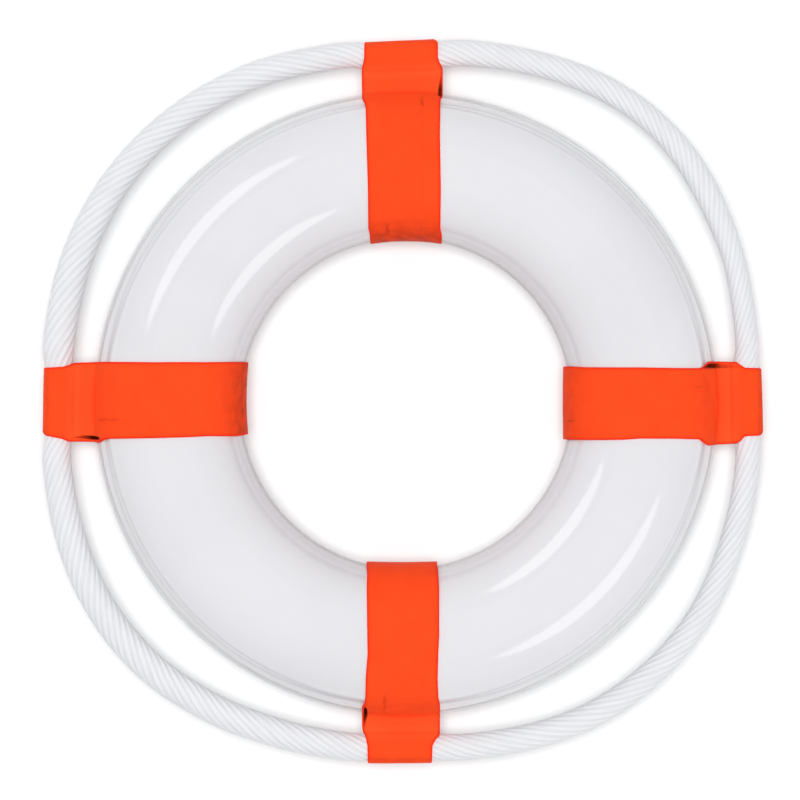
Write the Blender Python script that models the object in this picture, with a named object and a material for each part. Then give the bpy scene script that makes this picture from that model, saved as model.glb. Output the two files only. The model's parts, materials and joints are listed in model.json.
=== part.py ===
"""Life ring: a moulded ring float, four wrapped straps and the grab line held in their outer eyes.

Metres, +Z up. The ring lies on its back with its axis on Z, the top strap towards +Y and the
lowest faces of the straps at Z = 0. Angles run counterclockwise from +X, seen from the front.
"""

import math

import bmesh
import bpy
from mathutils import Matrix, Vector

# Ring float: a section with two flat lands and fully rounded sides, swept round the axis
RING_OUTER_RADIUS = 0.2160
RING_THICKNESS = 0.0760
LAND_WIDTH = 0.0250
SHELL_WALL = 0.0025

# Seam between the two halves of the shell, on the ring's middle plane
SEAM_LAP = 0.0040
SEAM_CHAMFER = 0.0005

# Snap-in plugs in the back of the shell
FILL_HOLE_RADIUS = 0.0060
VENT_HOLE_RADIUS = 0.0030
PLUG_FLANGE = 0.0032
PLUG_HEAD = 0.0011
PLUG_RIM = 0.0004
PLUG_BARB = 0.0006
PLUG_BARB_LAND = 0.0009
PLUG_NOSE = 0.0036
PLUG_TIP_SHARE = 0.7

# Straps: one band each, wrapped round the ring and closed in an eye round the rope
STRAP_THICKNESS = 0.0015
STRAP_WIDTH = 0.0508
STRAP_WIDTH_AT_PINCH = 0.0572
STRAP_WIDTH_AT_EYE = 0.0486
STRAP_WELD_LENGTH = 0.0180
STRAP_WELD_RAMP = 0.0035
STRAP_SPREAD_RUN = 0.0095
STRAP_GATHER_RUN = 0.0024
PINCH_GAP = 0.0010

# From the ring's outer edge to the outer end of each strap's eye: the rope hangs a little
# towards the upper left
STAND_OFF = {
    "right": 0.0324,
    "top": 0.0372,
    "left": 0.0368,
    "bottom": 0.0345,
}

# Grab line
ROPE_RADIUS = 0.0095
BIGHT_SWING = 60.0
BIGHT_FULLNESS = 1.2
SLEEVE_LENGTH = 0.0240
SLEEVE_WALL = 0.0008

# Clearances
SEAT_GAP = 0.0003
SWING_GAP = 0.0006
SWING_MARGIN = 0.0008
POCKET_GAP = 0.0006

# How finely round shapes are cut and joined
RING_SEGMENTS = 48
SHELL_STEPS = 6
CORE_STEPS = 4
STRAP_SHOULDER_STEPS = 10
STRAP_PINCH_STEPS = 5
STRAP_EYE_STEPS = 20
ROPE_SEGMENTS = 16
CUP_STEPS = 4
BALL_STEPS = 4
BIGHT_STEPS = 16
PLUG_SEGMENTS = 20
ROPE_BEVEL_RESOLUTION = 4
BALL_SWEEP = 80.0
SMOOTH_BELOW = 35.0
LEAST_TURN = 1.0
HALVINGS = 60
SAME_POINT = 1e-6

STRAPS = ("right", "top", "left", "bottom")
STRAP_SPACING = 360.0 / len(STRAPS)
STRAP_ANGLES = {strap: STRAP_SPACING * i for i, strap in enumerate(STRAPS)}

# Each free stretch of rope: the straps it runs between, how far its middle line bulges out from
# the ring's edge, and how much fuller it is on the side of the first strap
BIGHTS = {
    "top_right": ("right", "top", 0.0433, -0.0022),
    "top_left": ("top", "left", 0.0387, 0.0000),
    "bottom_left": ("left", "bottom", 0.0397, 0.0016),
    "bottom_right": ("bottom", "right", 0.0378, 0.0000),
}

# Values that follow from the sizes above
HALF_THICKNESS = RING_THICKNESS / 2
LAND = LAND_WIDTH / 2
TUBE_CENTRE = RING_OUTER_RADIUS - HALF_THICKNESS - LAND
MIDDLE_HEIGHT = HALF_THICKNESS + SEAT_GAP + 2 * STRAP_THICKNESS
FILL_PLUG_ANGLE = STRAP_ANGLES["top"] + STRAP_SPACING / 2
VENT_PLUG_ANGLE = STRAP_ANGLES["bottom"] + STRAP_SPACING / 2
NECK_RADIUS = ROPE_RADIUS - SLEEVE_WALL - SEAT_GAP


def polar(radius, angle, centre=(0.0, 0.0)):
    """A point at an angle in degrees and a radius from a centre."""
    turn = math.radians(angle)
    return centre[0] + radius * math.cos(turn), centre[1] + radius * math.sin(turn)


def arc(centre, radius, start, end, steps):
    """Points along an arc, both ends included. Angles are in degrees."""
    return [polar(radius, start + (end - start) * i / steps, centre) for i in range(steps + 1)]


def smoothstep(low, high, value):
    share = min(1.0, max(0.0, (value - low) / (high - low)))
    return share * share * (3 - 2 * share)


def material(name, colour, roughness, metallic=0.0):
    made = bpy.data.materials.new(name)
    made.use_nodes = True
    shader = made.node_tree.nodes["Principled BSDF"]
    shader.inputs["Base Color"].default_value = (*colour, 1.0)
    shader.inputs["Roughness"].default_value = roughness
    shader.inputs["Metallic"].default_value = metallic
    made.diffuse_color = (*colour, 1.0)
    return made


def add_object(name, data, made_of):
    data.materials.append(made_of)
    piece = bpy.data.objects.new(name, data)
    bpy.context.scene.collection.objects.link(piece)
    return piece


def add_mesh(name, shape, made_of):
    """Turns a bmesh into an object that is shaded smooth up to its corners."""
    mesh = bpy.data.meshes.new(name)
    bmesh.ops.recalc_face_normals(shape, faces=shape.faces)
    shape.to_mesh(mesh)
    shape.free()
    mesh.shade_smooth()
    mesh.set_sharp_from_angle(angle=math.radians(SMOOTH_BELOW))
    return add_object(name, mesh, made_of)


def turned(name, profile, segments, made_of, closed=True):
    """Spins a profile of (radius, height) points round Z. An open profile starts and ends on Z."""
    shape = bmesh.new()
    points = [shape.verts.new((radius, 0.0, height)) for radius, height in profile]
    pairs = list(zip(points, points[1:]))
    if closed:
        pairs.append((points[-1], points[0]))
    edges = [shape.edges.new(pair) for pair in pairs]
    bmesh.ops.spin(
        shape,
        geom=points + edges,
        axis=(0.0, 0.0, 1.0),
        cent=(0.0, 0.0, 0.0),
        angle=math.tau,
        steps=segments,
        use_merge=True,
    )
    bmesh.ops.remove_doubles(shape, verts=shape.verts, dist=SAME_POINT)
    return add_mesh(name, shape, made_of)


def side_offset(grown, height):
    """How far the oval section, grown by that much, stands from its middle at a height."""
    return LAND + math.sqrt((HALF_THICKNESS + grown) ** 2 - height**2)


def half_section(grown, height, steps):
    """The section's outline above a height, from its outer side over the top to its inner side."""
    radius = HALF_THICKNESS + grown
    start = math.degrees(math.asin(height / radius))
    turns = [90.0 * i / steps for i in range(1, steps + 1)]
    angles = [start] + [turn for turn in turns if turn > start + LEAST_TURN]
    corner = [polar(radius, angle, (LAND, 0.0)) for angle in angles]
    return corner + [(-x, z) for x, z in reversed(corner)]


def shell_half(name, front, made_of):
    """One moulded half. The back half's tongues stand inside the lips of the front half."""
    lip = (SHELL_WALL - SEAT_GAP) / 2
    edge = SEAT_GAP / 2
    if front:
        step_depth, step_height = -lip, edge + SEAM_LAP
    else:
        step_depth, step_height = -lip - SEAT_GAP, SEAM_LAP - edge
    up = 1 if front else -1
    # Heights count from the seam towards this half's own face
    lip_end = edge
    step_end = up * step_height
    outer = half_section(0.0, lip_end + SEAM_CHAMFER, SHELL_STEPS)
    inner = half_section(-SHELL_WALL, max(step_end, 0.0), CORE_STEPS)
    if step_end < 0:
        foot = side_offset(-SHELL_WALL, step_end)
        inner = [(foot, step_end)] + inner + [(-foot, step_end)]
    lip_point = side_offset(-SEAM_CHAMFER, lip_end)
    lip_corner = side_offset(step_depth, lip_end)
    step_corner = side_offset(step_depth, step_end)
    one_side = [(step_corner, step_end), (lip_corner, lip_end), (lip_point, lip_end)]
    other_side = [(-x, z) for x, z in reversed(one_side)]
    outline = one_side + outer + other_side + list(reversed(inner))
    profile = [(TUBE_CENTRE + x, up * z) for x, z in outline]
    half = turned(name, profile, RING_SEGMENTS, made_of)
    half.location.z = MIDDLE_HEIGHT
    return half


def foam_core(made_of):
    """The buoyant filling, which backs the shell all over."""
    upper = half_section(-SHELL_WALL - SEAT_GAP, 0.0, CORE_STEPS)
    lower = [(x, -z) for x, z in reversed(upper[1:-1])]
    profile = [(TUBE_CENTRE + x, z) for x, z in upper + lower]
    core = turned("foam_core", profile, RING_SEGMENTS, made_of)
    core.location.z = MIDDLE_HEIGHT
    return core


def bore_out(piece, name, place, radius, top, bottom):
    """Cuts an upright round hole between two heights, with a cutter that isn't rendered."""
    shape = bmesh.new()
    bmesh.ops.create_cone(
        shape,
        cap_ends=True,
        segments=PLUG_SEGMENTS,
        radius1=radius,
        radius2=radius,
        depth=top - bottom,
    )
    mesh = bpy.data.meshes.new(name)
    shape.to_mesh(mesh)
    shape.free()
    cutter = bpy.data.objects.new(name, mesh)
    bpy.context.scene.collection.objects.link(cutter)
    cutter.location = (place.x, place.y, (top + bottom) / 2)
    cutter.hide_render = True
    cutter.display_type = "WIRE"
    cut = piece.modifiers.new(name, "BOOLEAN")
    cut.operation = "DIFFERENCE"
    cut.object = cutter


def add_plug(name, angle, hole_radius, shell, core, made_of):
    """A snap-in plug in the shell's back land, with its barb behind the wall."""
    place = Vector(polar(TUBE_CENTRE, angle))
    back = MIDDLE_HEIGHT - HALF_THICKNESS
    shank = hole_radius - SEAT_GAP
    barb = hole_radius + PLUG_BARB
    wall_top = SHELL_WALL + SEAT_GAP
    nose = wall_top + PLUG_NOSE
    pocket = barb + POCKET_GAP
    bore_out(shell, name + "_hole", place, hole_radius, back + 2 * SHELL_WALL, back - SHELL_WALL)
    bore_out(core, name + "_pocket", place, pocket, back + nose + POCKET_GAP, back - SHELL_WALL)
    head = hole_radius + PLUG_FLANGE
    profile = [
        (0.0, nose),
        (shank * PLUG_TIP_SHARE, nose),
        (barb, wall_top + PLUG_BARB_LAND),
        (barb, wall_top),
        (shank, wall_top),
        (shank, -SEAT_GAP),
        (head, -SEAT_GAP),
        (head, -SEAT_GAP - PLUG_RIM),
        (head - PLUG_HEAD, -SEAT_GAP - PLUG_HEAD),
        (0.0, -SEAT_GAP - PLUG_HEAD),
    ]
    plug = turned(name, profile, PLUG_SEGMENTS, made_of, closed=False)
    plug.location = (place.x, place.y, back)


def rope_distance(strap):
    """From the axis to the rope's centre in a strap's eye."""
    strap_end = RING_OUTER_RADIUS + STAND_OFF[strap]
    return strap_end - STRAP_THICKNESS - SEAT_GAP - ROPE_RADIUS


def pinch_arc(shoulder_radius, eye_radius, reach):
    """The round that draws the band in between the ring's shoulder and the eye.

    It touches both circles and comes down to half the pinch's height. Returns its centre and
    radius. The wider it is, the further apart the two circles may stand, so its radius is found
    by halving.
    """
    lowest = (STRAP_THICKNESS + PINCH_GAP) / 2
    span = reach - TUBE_CENTRE - LAND

    def sides(radius):
        height = radius + lowest
        to_shoulder = (shoulder_radius + radius) ** 2 - height**2
        to_eye = (eye_radius + radius) ** 2 - height**2
        return math.sqrt(to_shoulder), math.sqrt(to_eye)

    low, high = 0.0, span
    for _ in range(HALVINGS):
        middle = (low + high) / 2
        if sum(sides(middle)) < span:
            low = middle
        else:
            high = middle
    return (TUBE_CENTRE + LAND + sides(low)[0], low + lowest), low


def strap_route(strap):
    """The band's middle line on one side of the ring, as (point, outward normal) pairs.

    It runs from the middle of the front land outwards over the shoulder, through the pinch and
    round the eye to the middle plane.
    """
    reach = rope_distance(strap)
    shoulder_radius = HALF_THICKNESS + SEAT_GAP + STRAP_THICKNESS / 2
    eye_radius = ROPE_RADIUS + SEAT_GAP + STRAP_THICKNESS / 2
    shoulder = (TUBE_CENTRE + LAND, 0.0)
    eye = (reach, 0.0)
    pinch, pinch_radius = pinch_arc(shoulder_radius, eye_radius, reach)
    leave = math.degrees(math.atan2(pinch[1] - shoulder[1], pinch[0] - shoulder[0]))
    meet = math.degrees(math.atan2(pinch[1] - eye[1], pinch[0] - eye[0]))
    runs = [
        (shoulder, shoulder_radius, 90.0, leave, STRAP_SHOULDER_STEPS, 1.0),
        (pinch, pinch_radius, leave - 180.0, meet - 180.0, STRAP_PINCH_STEPS, -1.0),
        (eye, eye_radius, meet, 0.0, STRAP_EYE_STEPS // 2, 1.0),
    ]
    route = []
    for centre, radius, start, end, steps, facing in runs:
        for x, z in arc(centre, radius, start, end, steps):
            normal = ((x - centre[0]) / radius * facing, (z - centre[1]) / radius * facing)
            if not route or math.dist(route[-1][0], (x, z)) > SAME_POINT:
                route.append(((x, z), normal))
    return route


def inner_route():
    """The band's way round the bore side, from the back land up to the front land.

    The band is straight across its width, so it touches the round bore with its two edges.
    """
    off_ring = SEAT_GAP + STRAP_THICKNESS / 2
    faceted = math.cos(math.pi / RING_SEGMENTS)
    route = []
    for nx, nz in arc((0.0, 0.0), 1.0, 270.0, 90.0, 2 * STRAP_SHOULDER_STEPS):
        ring_x = (TUBE_CENTRE - LAND + nx * HALF_THICKNESS) * faceted
        across = math.sqrt(ring_x**2 - (STRAP_WIDTH / 2) ** 2)
        height = nz * (HALF_THICKNESS + off_ring)
        route.append(((across + nx * off_ring, height), (nx, nz)))
    return route


def half_width(strap, x):
    """Half of the band's width where it lies x from the axis: it spreads in the pinch."""
    rope = rope_distance(strap)
    ring_edge = RING_OUTER_RADIUS
    eye_edge = rope - ROPE_RADIUS
    pinch = (ring_edge + eye_edge) / 2
    spread = smoothstep(ring_edge - STRAP_SPREAD_RUN, pinch, x)
    gather = smoothstep(pinch, rope - STRAP_GATHER_RUN, x)
    width = STRAP_WIDTH + (STRAP_WIDTH_AT_PINCH - STRAP_WIDTH) * spread
    return (width + (STRAP_WIDTH_AT_EYE - STRAP_WIDTH_AT_PINCH) * gather) / 2


def add_strap(strap, made_of):
    """One band, built as a loop of stations, each with four corners."""
    outward = strap_route(strap)
    back = [((x, -z), (nx, -nz)) for (x, z), (nx, nz) in reversed(outward[:-1])]
    half = STRAP_THICKNESS / 2
    stations = []
    for (x, z), (nx, nz) in outward + back + inner_route():
        outer_face = (x + nx * half, z + nz * half)
        inner_face = (x - nx * half, z - nz * half)
        stations.append((outer_face, inner_face))
    # The welded lap on the back land: it ramps up at one end and stops in a step at the other
    level = -HALF_THICKNESS - SEAT_GAP
    lap_start = TUBE_CENTRE + STRAP_WELD_LENGTH / 2
    lap_end = TUBE_CENTRE - STRAP_WELD_LENGTH / 2
    lap = [
        (lap_start + STRAP_WELD_RAMP, level - STRAP_THICKNESS),
        (lap_start, level - 2 * STRAP_THICKNESS),
        (lap_end, level - 2 * STRAP_THICKNESS),
        (lap_end, level - STRAP_THICKNESS),
    ]
    first_of_inner = len(outward) + len(back)
    stations[first_of_inner:first_of_inner] = [(point, (point[0], level)) for point in lap]
    shape = bmesh.new()
    loops = []
    for faces in stations:
        corners = []
        for x, z in faces:
            reach = half_width(strap, x)
            corners.append([shape.verts.new((x, side * reach, z)) for side in (-1, 1)])
        (outer_left, outer_right), (inner_left, inner_right) = corners
        loops.append((outer_left, outer_right, inner_right, inner_left))
    for here, after in zip(loops, loops[1:] + loops[:1]):
        for i in range(4):
            shape.faces.new((here[i], here[i - 1], after[i - 1], after[i]))
    bmesh.ops.remove_doubles(shape, verts=shape.verts, dist=SAME_POINT)
    band = add_mesh("strap_" + strap, shape, made_of)
    band.location.z = MIDDLE_HEIGHT
    band.rotation_euler.z = math.radians(STRAP_ANGLES[strap])


def rope_setback():
    """How far the held rope's rim stays behind the hinge, so that a swung bight clears it.

    A bight's hinge lies half of the straps' spacing away from the rope's line in a strap.
    """
    between = math.radians(STRAP_SPACING / 2)
    bend = 2 * math.asin(math.sin(between) * math.sin(math.radians(BIGHT_SWING) / 2))
    return ROPE_RADIUS * math.tan(bend / 2) + SWING_GAP / math.sin(bend)


def hinge_offset():
    """From the middle of a strap, along the rope, to the point that a bight swings about."""
    return STRAP_WIDTH_AT_EYE / 2 + SWING_MARGIN + rope_setback()


def cup():
    """The hollow end of a held length of rope, from its axis out to its rim."""
    hollow = ROPE_RADIUS + SWING_GAP
    rim = hinge_offset() - rope_setback()
    widest = math.sqrt(hollow**2 - rope_setback() ** 2)
    points = []
    for i in range(CUP_STEPS + 1):
        out = widest * i / CUP_STEPS
        points.append((out, hinge_offset() - math.sqrt(hollow**2 - out**2)))
    points.append((ROPE_RADIUS, rim))
    return points


def lay_in_strap(piece, strap, direction=1):
    """Lays a piece that was turned round Z along the rope in a strap's eye."""
    angle = math.radians(STRAP_ANGLES[strap])
    along = Matrix.Rotation(angle, 4, "Z") @ Matrix.Rotation(-direction * math.pi / 2, 4, "X")
    place = Matrix.Translation((*polar(rope_distance(strap), STRAP_ANGLES[strap]), MIDDLE_HEIGHT))
    piece.matrix_world = place @ along


def add_held_rope(strap, made_of):
    """The length of rope that a strap holds."""
    upper = cup()
    profile = upper + [(x, -z) for x, z in reversed(upper)]
    piece = turned("rope_held_" + strap, profile, ROPE_SEGMENTS, made_of, closed=False)
    lay_in_strap(piece, strap)


def add_rope_join(rope, sleeve_stuff):
    """The rope's two ends, necked down in one sleeve inside the bottom strap."""
    neck_start = SLEEVE_LENGTH / 2
    neck_end = SEAT_GAP / 2
    profile = cup() + [
        (ROPE_RADIUS, neck_start),
        (NECK_RADIUS, neck_start),
        (NECK_RADIUS, neck_end),
        (0.0, neck_end),
    ]
    for name, direction in (("rope_end_left", -1), ("rope_end_right", 1)):
        piece = turned(name, profile, ROPE_SEGMENTS, rope, closed=False)
        lay_in_strap(piece, "bottom", direction)
    half = SLEEVE_LENGTH / 2 - SEAT_GAP
    bore = NECK_RADIUS + SEAT_GAP
    ring = [(bore, half), (ROPE_RADIUS, half), (ROPE_RADIUS, -half), (bore, -half)]
    sleeve = turned("rope_sleeve", ring, ROPE_SEGMENTS, sleeve_stuff)
    lay_in_strap(sleeve, "bottom")


def hinge_point(strap, side):
    """Where a bight's end swings, beside a strap. Side is 1 on its counterclockwise side."""
    along = hinge_offset() * side
    angle = math.radians(STRAP_ANGLES[strap])
    out = rope_distance(strap)
    x = out * math.cos(angle) - along * math.sin(angle)
    y = out * math.sin(angle) + along * math.cos(angle)
    return Vector((x, y, MIDDLE_HEIGHT))


def bight_line(bight):
    """Points along a bight's centre line, from one hinge point to the other."""
    first, second, bulge, lean = BIGHTS[bight]
    start, end = hinge_point(first, 1), hinge_point(second, -1)
    start_angle = math.atan2(start.y, start.x)
    turn = (math.atan2(end.y, end.x) - start_angle) % math.tau
    start_radius, end_radius = start.xy.length, end.xy.length
    swell = RING_OUTER_RADIUS + bulge - (start_radius + end_radius) / 2
    points = []
    for i in range(BIGHT_STEPS + 1):
        share = i / BIGHT_STEPS
        arch = max(0.0, math.sin(math.pi * share)) ** BIGHT_FULLNESS
        radius = start_radius + (end_radius - start_radius) * share
        radius += swell * arch + lean * math.sin(math.tau * share)
        angle = start_angle + turn * share
        points.append(Vector((radius * math.cos(angle), radius * math.sin(angle), start.z)))
    return points


def ball_end(centre, away):
    """Centres and radius shares that round off a rope's end about a point."""
    rounds = []
    for i in range(BALL_STEPS, 0, -1):
        back = math.radians(BALL_SWEEP) * i / BALL_STEPS
        rounds.append((centre + away * ROPE_RADIUS * math.sin(back), math.cos(back)))
    return rounds


def add_bight(bight, made_of):
    """A free stretch of rope on an empty that lies on its hinge, with X along the axis."""
    line = bight_line(bight)
    start, end = line[0], line[-1]
    hinge = bpy.data.objects.new("hinge_" + bight, None)
    bpy.context.scene.collection.objects.link(hinge)
    axis = (start - end).normalized()
    hinge.location = (start + end) / 2
    hinge.rotation_euler.z = math.atan2(axis.y, axis.x)
    hinge.empty_display_type = "SINGLE_ARROW"
    bpy.context.view_layer.update()
    stations = ball_end(start, (start - line[1]).normalized())
    stations += [(point, 1.0) for point in line]
    stations += reversed(ball_end(end, (end - line[-2]).normalized()))
    curve = bpy.data.curves.new("rope_bight_" + bight, "CURVE")
    curve.dimensions = "3D"
    curve.bevel_depth = ROPE_RADIUS
    curve.bevel_resolution = ROPE_BEVEL_RESOLUTION
    curve.use_fill_caps = True
    spline = curve.splines.new("POLY")
    spline.points.add(len(stations) - 1)
    to_hinge = hinge.matrix_world.inverted()
    for point, (centre, share) in zip(spline.points, stations):
        point.co = (*(to_hinge @ centre), 1.0)
        point.radius = share
    piece = add_object("rope_bight_" + bight, curve, made_of)
    piece.parent = hinge
    place = ", ".join(f"{value:.6f}" for value in hinge.location)
    along = ", ".join(f"{value:.6f}" for value in axis)
    print(f"{piece.name}: hinge at ({place}) along ({along})")


def main():
    for piece in list(bpy.data.objects):
        bpy.data.objects.remove(piece)
    white = material("white_shell", (0.80, 0.80, 0.83), 0.18)
    foam = material("foam", (0.84, 0.78, 0.62), 0.95)
    plug_white = material("plug_plastic", (0.72, 0.72, 0.74), 0.35)
    orange = material("orange_band", (1.0, 0.085, 0.02), 0.55)
    rope = material("white_rope", (0.80, 0.81, 0.83), 0.60)
    sleeve = material("join_sleeve", (0.10, 0.10, 0.11), 0.50)
    shell_half("shell_front", True, white)
    shell_back = shell_half("shell_back", False, white)
    core = foam_core(foam)
    plugs = [
        ("fill_plug", FILL_PLUG_ANGLE, FILL_HOLE_RADIUS),
        ("vent_plug", VENT_PLUG_ANGLE, VENT_HOLE_RADIUS),
    ]
    for name, angle, hole_radius in plugs:
        add_plug(name, angle, hole_radius, shell_back, core, plug_white)
    for strap in STRAPS:
        add_strap(strap, orange)
    for strap in ("right", "top", "left"):
        add_held_rope(strap, rope)
    add_rope_join(rope, sleeve)
    for bight in BIGHTS:
        add_bight(bight, rope)


main()
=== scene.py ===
"""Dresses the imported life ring: its moulded float, wrapped bands, laid grab line and studio.

Metres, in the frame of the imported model: the ring lies on its back, its axis on Z, the top
strap towards +Y. A strap's own frame has X out from the axis along the strap, Y to its
counterclockwise side and Z along the ring's axis.
"""

import json
import math

import bmesh
import bpy
import numpy as np
from bpy.props import FloatProperty, FloatVectorProperty, IntProperty, PointerProperty
from mathutils import Matrix, Vector, noise


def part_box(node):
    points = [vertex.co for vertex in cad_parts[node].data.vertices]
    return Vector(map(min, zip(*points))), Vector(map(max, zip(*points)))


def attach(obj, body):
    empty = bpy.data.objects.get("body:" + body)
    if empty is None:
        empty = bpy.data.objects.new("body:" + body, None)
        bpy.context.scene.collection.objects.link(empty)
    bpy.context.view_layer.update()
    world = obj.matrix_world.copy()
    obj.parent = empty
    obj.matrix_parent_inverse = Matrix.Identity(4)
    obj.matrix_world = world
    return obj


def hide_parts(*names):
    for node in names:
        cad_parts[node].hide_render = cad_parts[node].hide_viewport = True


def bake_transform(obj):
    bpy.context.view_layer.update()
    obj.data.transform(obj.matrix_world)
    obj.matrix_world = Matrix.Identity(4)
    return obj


bl_info = {
    "name": "Life ring looks",
    "version": (1, 0, 0),
    "blender": (4, 5, 0),
    "location": "3D View > Sidebar > Life ring",
    "description": "Builds the visible pieces of a life ring around its packed solids",
    "category": "Add Mesh",
}

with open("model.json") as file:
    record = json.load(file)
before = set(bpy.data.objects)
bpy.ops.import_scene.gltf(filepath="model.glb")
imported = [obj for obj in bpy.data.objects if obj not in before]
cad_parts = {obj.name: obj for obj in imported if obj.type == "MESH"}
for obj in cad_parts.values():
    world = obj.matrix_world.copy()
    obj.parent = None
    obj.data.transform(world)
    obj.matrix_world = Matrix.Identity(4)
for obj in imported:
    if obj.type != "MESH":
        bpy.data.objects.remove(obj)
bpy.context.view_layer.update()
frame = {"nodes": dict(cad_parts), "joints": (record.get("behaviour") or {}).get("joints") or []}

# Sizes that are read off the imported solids
FRONT_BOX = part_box("shell_front")
BACK_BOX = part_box("shell_back")
BIGHT_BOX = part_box("rope_bight_top_right")
RING_OUTER_RADIUS = FRONT_BOX[1].x
BORE_RADIUS = min(v.co.xy.length for v in frame["nodes"]["shell_front"].data.vertices)
HALF_THICKNESS = (FRONT_BOX[1].z - BACK_BOX[0].z) / 2
MIDDLE_HEIGHT = (FRONT_BOX[1].z + BACK_BOX[0].z) / 2
TUBE_CENTRE = (RING_OUTER_RADIUS + BORE_RADIUS) / 2
LAND = (RING_OUTER_RADIUS - BORE_RADIUS) / 2 - HALF_THICKNESS
ROPE_RADIUS = (BIGHT_BOX[1].z - BIGHT_BOX[0].z) / 2
REACH = {
    "right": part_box("strap_right")[1].x,
    "top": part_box("strap_top")[1].y,
    "left": -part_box("strap_left")[0].x,
    "bottom": -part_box("strap_bottom")[0].y,
}
SEAT_GAP = 0.0003
STRAP_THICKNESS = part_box("strap_top")[1].z - FRONT_BOX[1].z - SEAT_GAP

STRAPS = ("right", "top", "left", "bottom")
STRAP_SPACING = 360.0 / len(STRAPS)
STRAP_ANGLES = {strap: STRAP_SPACING * i for i, strap in enumerate(STRAPS)}

# Each free stretch of rope: the straps it runs between, how far its middle line bulges out from
# the ring's edge, and how much fuller it is on the side of the first strap
BIGHTS = {
    "top_right": ("right", "top", 0.0433, -0.0022),
    "top_left": ("top", "left", 0.0387, 0.0000),
    "bottom_left": ("left", "bottom", 0.0397, 0.0016),
    "bottom_right": ("bottom", "right", 0.0378, 0.0000),
}
BIGHT_FULLNESS = 1.2

# Which packed lengths of rope each visible stretch stands for, beside its own bight
HELD_WITH = {
    "top_right": ["rope_held_right"],
    "top_left": ["rope_held_top"],
    "bottom_left": ["rope_held_left", "rope_end_left"],
    "bottom_right": ["rope_end_right"],
}

# How steeply the rope and the eye round it lean out towards a strap's counterclockwise side. The
# rope leans so up to the first distance beside the strap, and no longer from the second on
LEAN = {"right": -0.030, "top": -0.046, "left": 0.022, "bottom": -0.006}
LEAN_HELD = 0.030
LEAN_GONE = 0.110

# How the slack rope hangs: at angles round the ring, how far it lies outside its drawn line and how
# full it is
ROPE_HANG = [
    (4, 0.0006, 0.93),
    (8, 0.0030, 0.88),
    (12, 0.0027, 0.86),
    (18, 0.0021, 0.83),
    (24, 0.0017, 0.83),
    (30, 0.0009, 0.92),
    (36, 0.0011, 0.98),
    (42, 0.0017, 0.96),
    (48, 0.0016, 0.92),
    (54, 0.0011, 0.93),
    (60, 0.0006, 0.94),
    (66, 0.0001, 0.92),
    (72, -0.0006, 0.93),
    (78, 0.0000, 0.97),
    (82, 0.0017, 0.98),
    (98, 0.0044, 0.94),
    (102, 0.0037, 0.95),
    (108, 0.0026, 0.97),
    (114, 0.0017, 0.98),
    (120, 0.0008, 1.00),
    (132, 0.0003, 1.03),
    (138, 0.0003, 1.06),
    (144, 0.0004, 1.11),
    (150, 0.0002, 1.16),
    (160, 0.0013, 1.19),
    (168, 0.0021, 1.18),
    (172, 0.0028, 1.15),
    (176, 0.0017, 1.06),
    (184, 0.0014, 1.02),
    (188, 0.0022, 1.05),
    (192, 0.0006, 1.07),
    (198, 0.0001, 1.11),
    (210, 0.0000, 1.14),
    (228, 0.0004, 1.14),
    (234, -0.0004, 1.12),
    (240, -0.0002, 1.10),
    (246, -0.0008, 1.08),
    (252, -0.0003, 1.06),
    (258, 0.0001, 1.05),
    (262, 0.0009, 1.04),
    (277, 0.0012, 0.97),
    (282, 0.0010, 0.97),
    (288, 0.0008, 0.97),
    (294, 0.0008, 0.95),
    (300, 0.0012, 0.97),
    (312, 0.0005, 0.95),
    (324, 0.0004, 0.92),
    (330, -0.0002, 0.91),
    (342, -0.0004, 0.91),
    (348, 0.0002, 0.91),
    (352, 0.0010, 0.92),
]

# How long the rope's lay is, as a share of its normal length, where it is pushed together
LAY_SHARE = {"top_right": 0.72, "top_left": 0.90, "bottom_left": 0.80, "bottom_right": 0.95}

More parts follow.
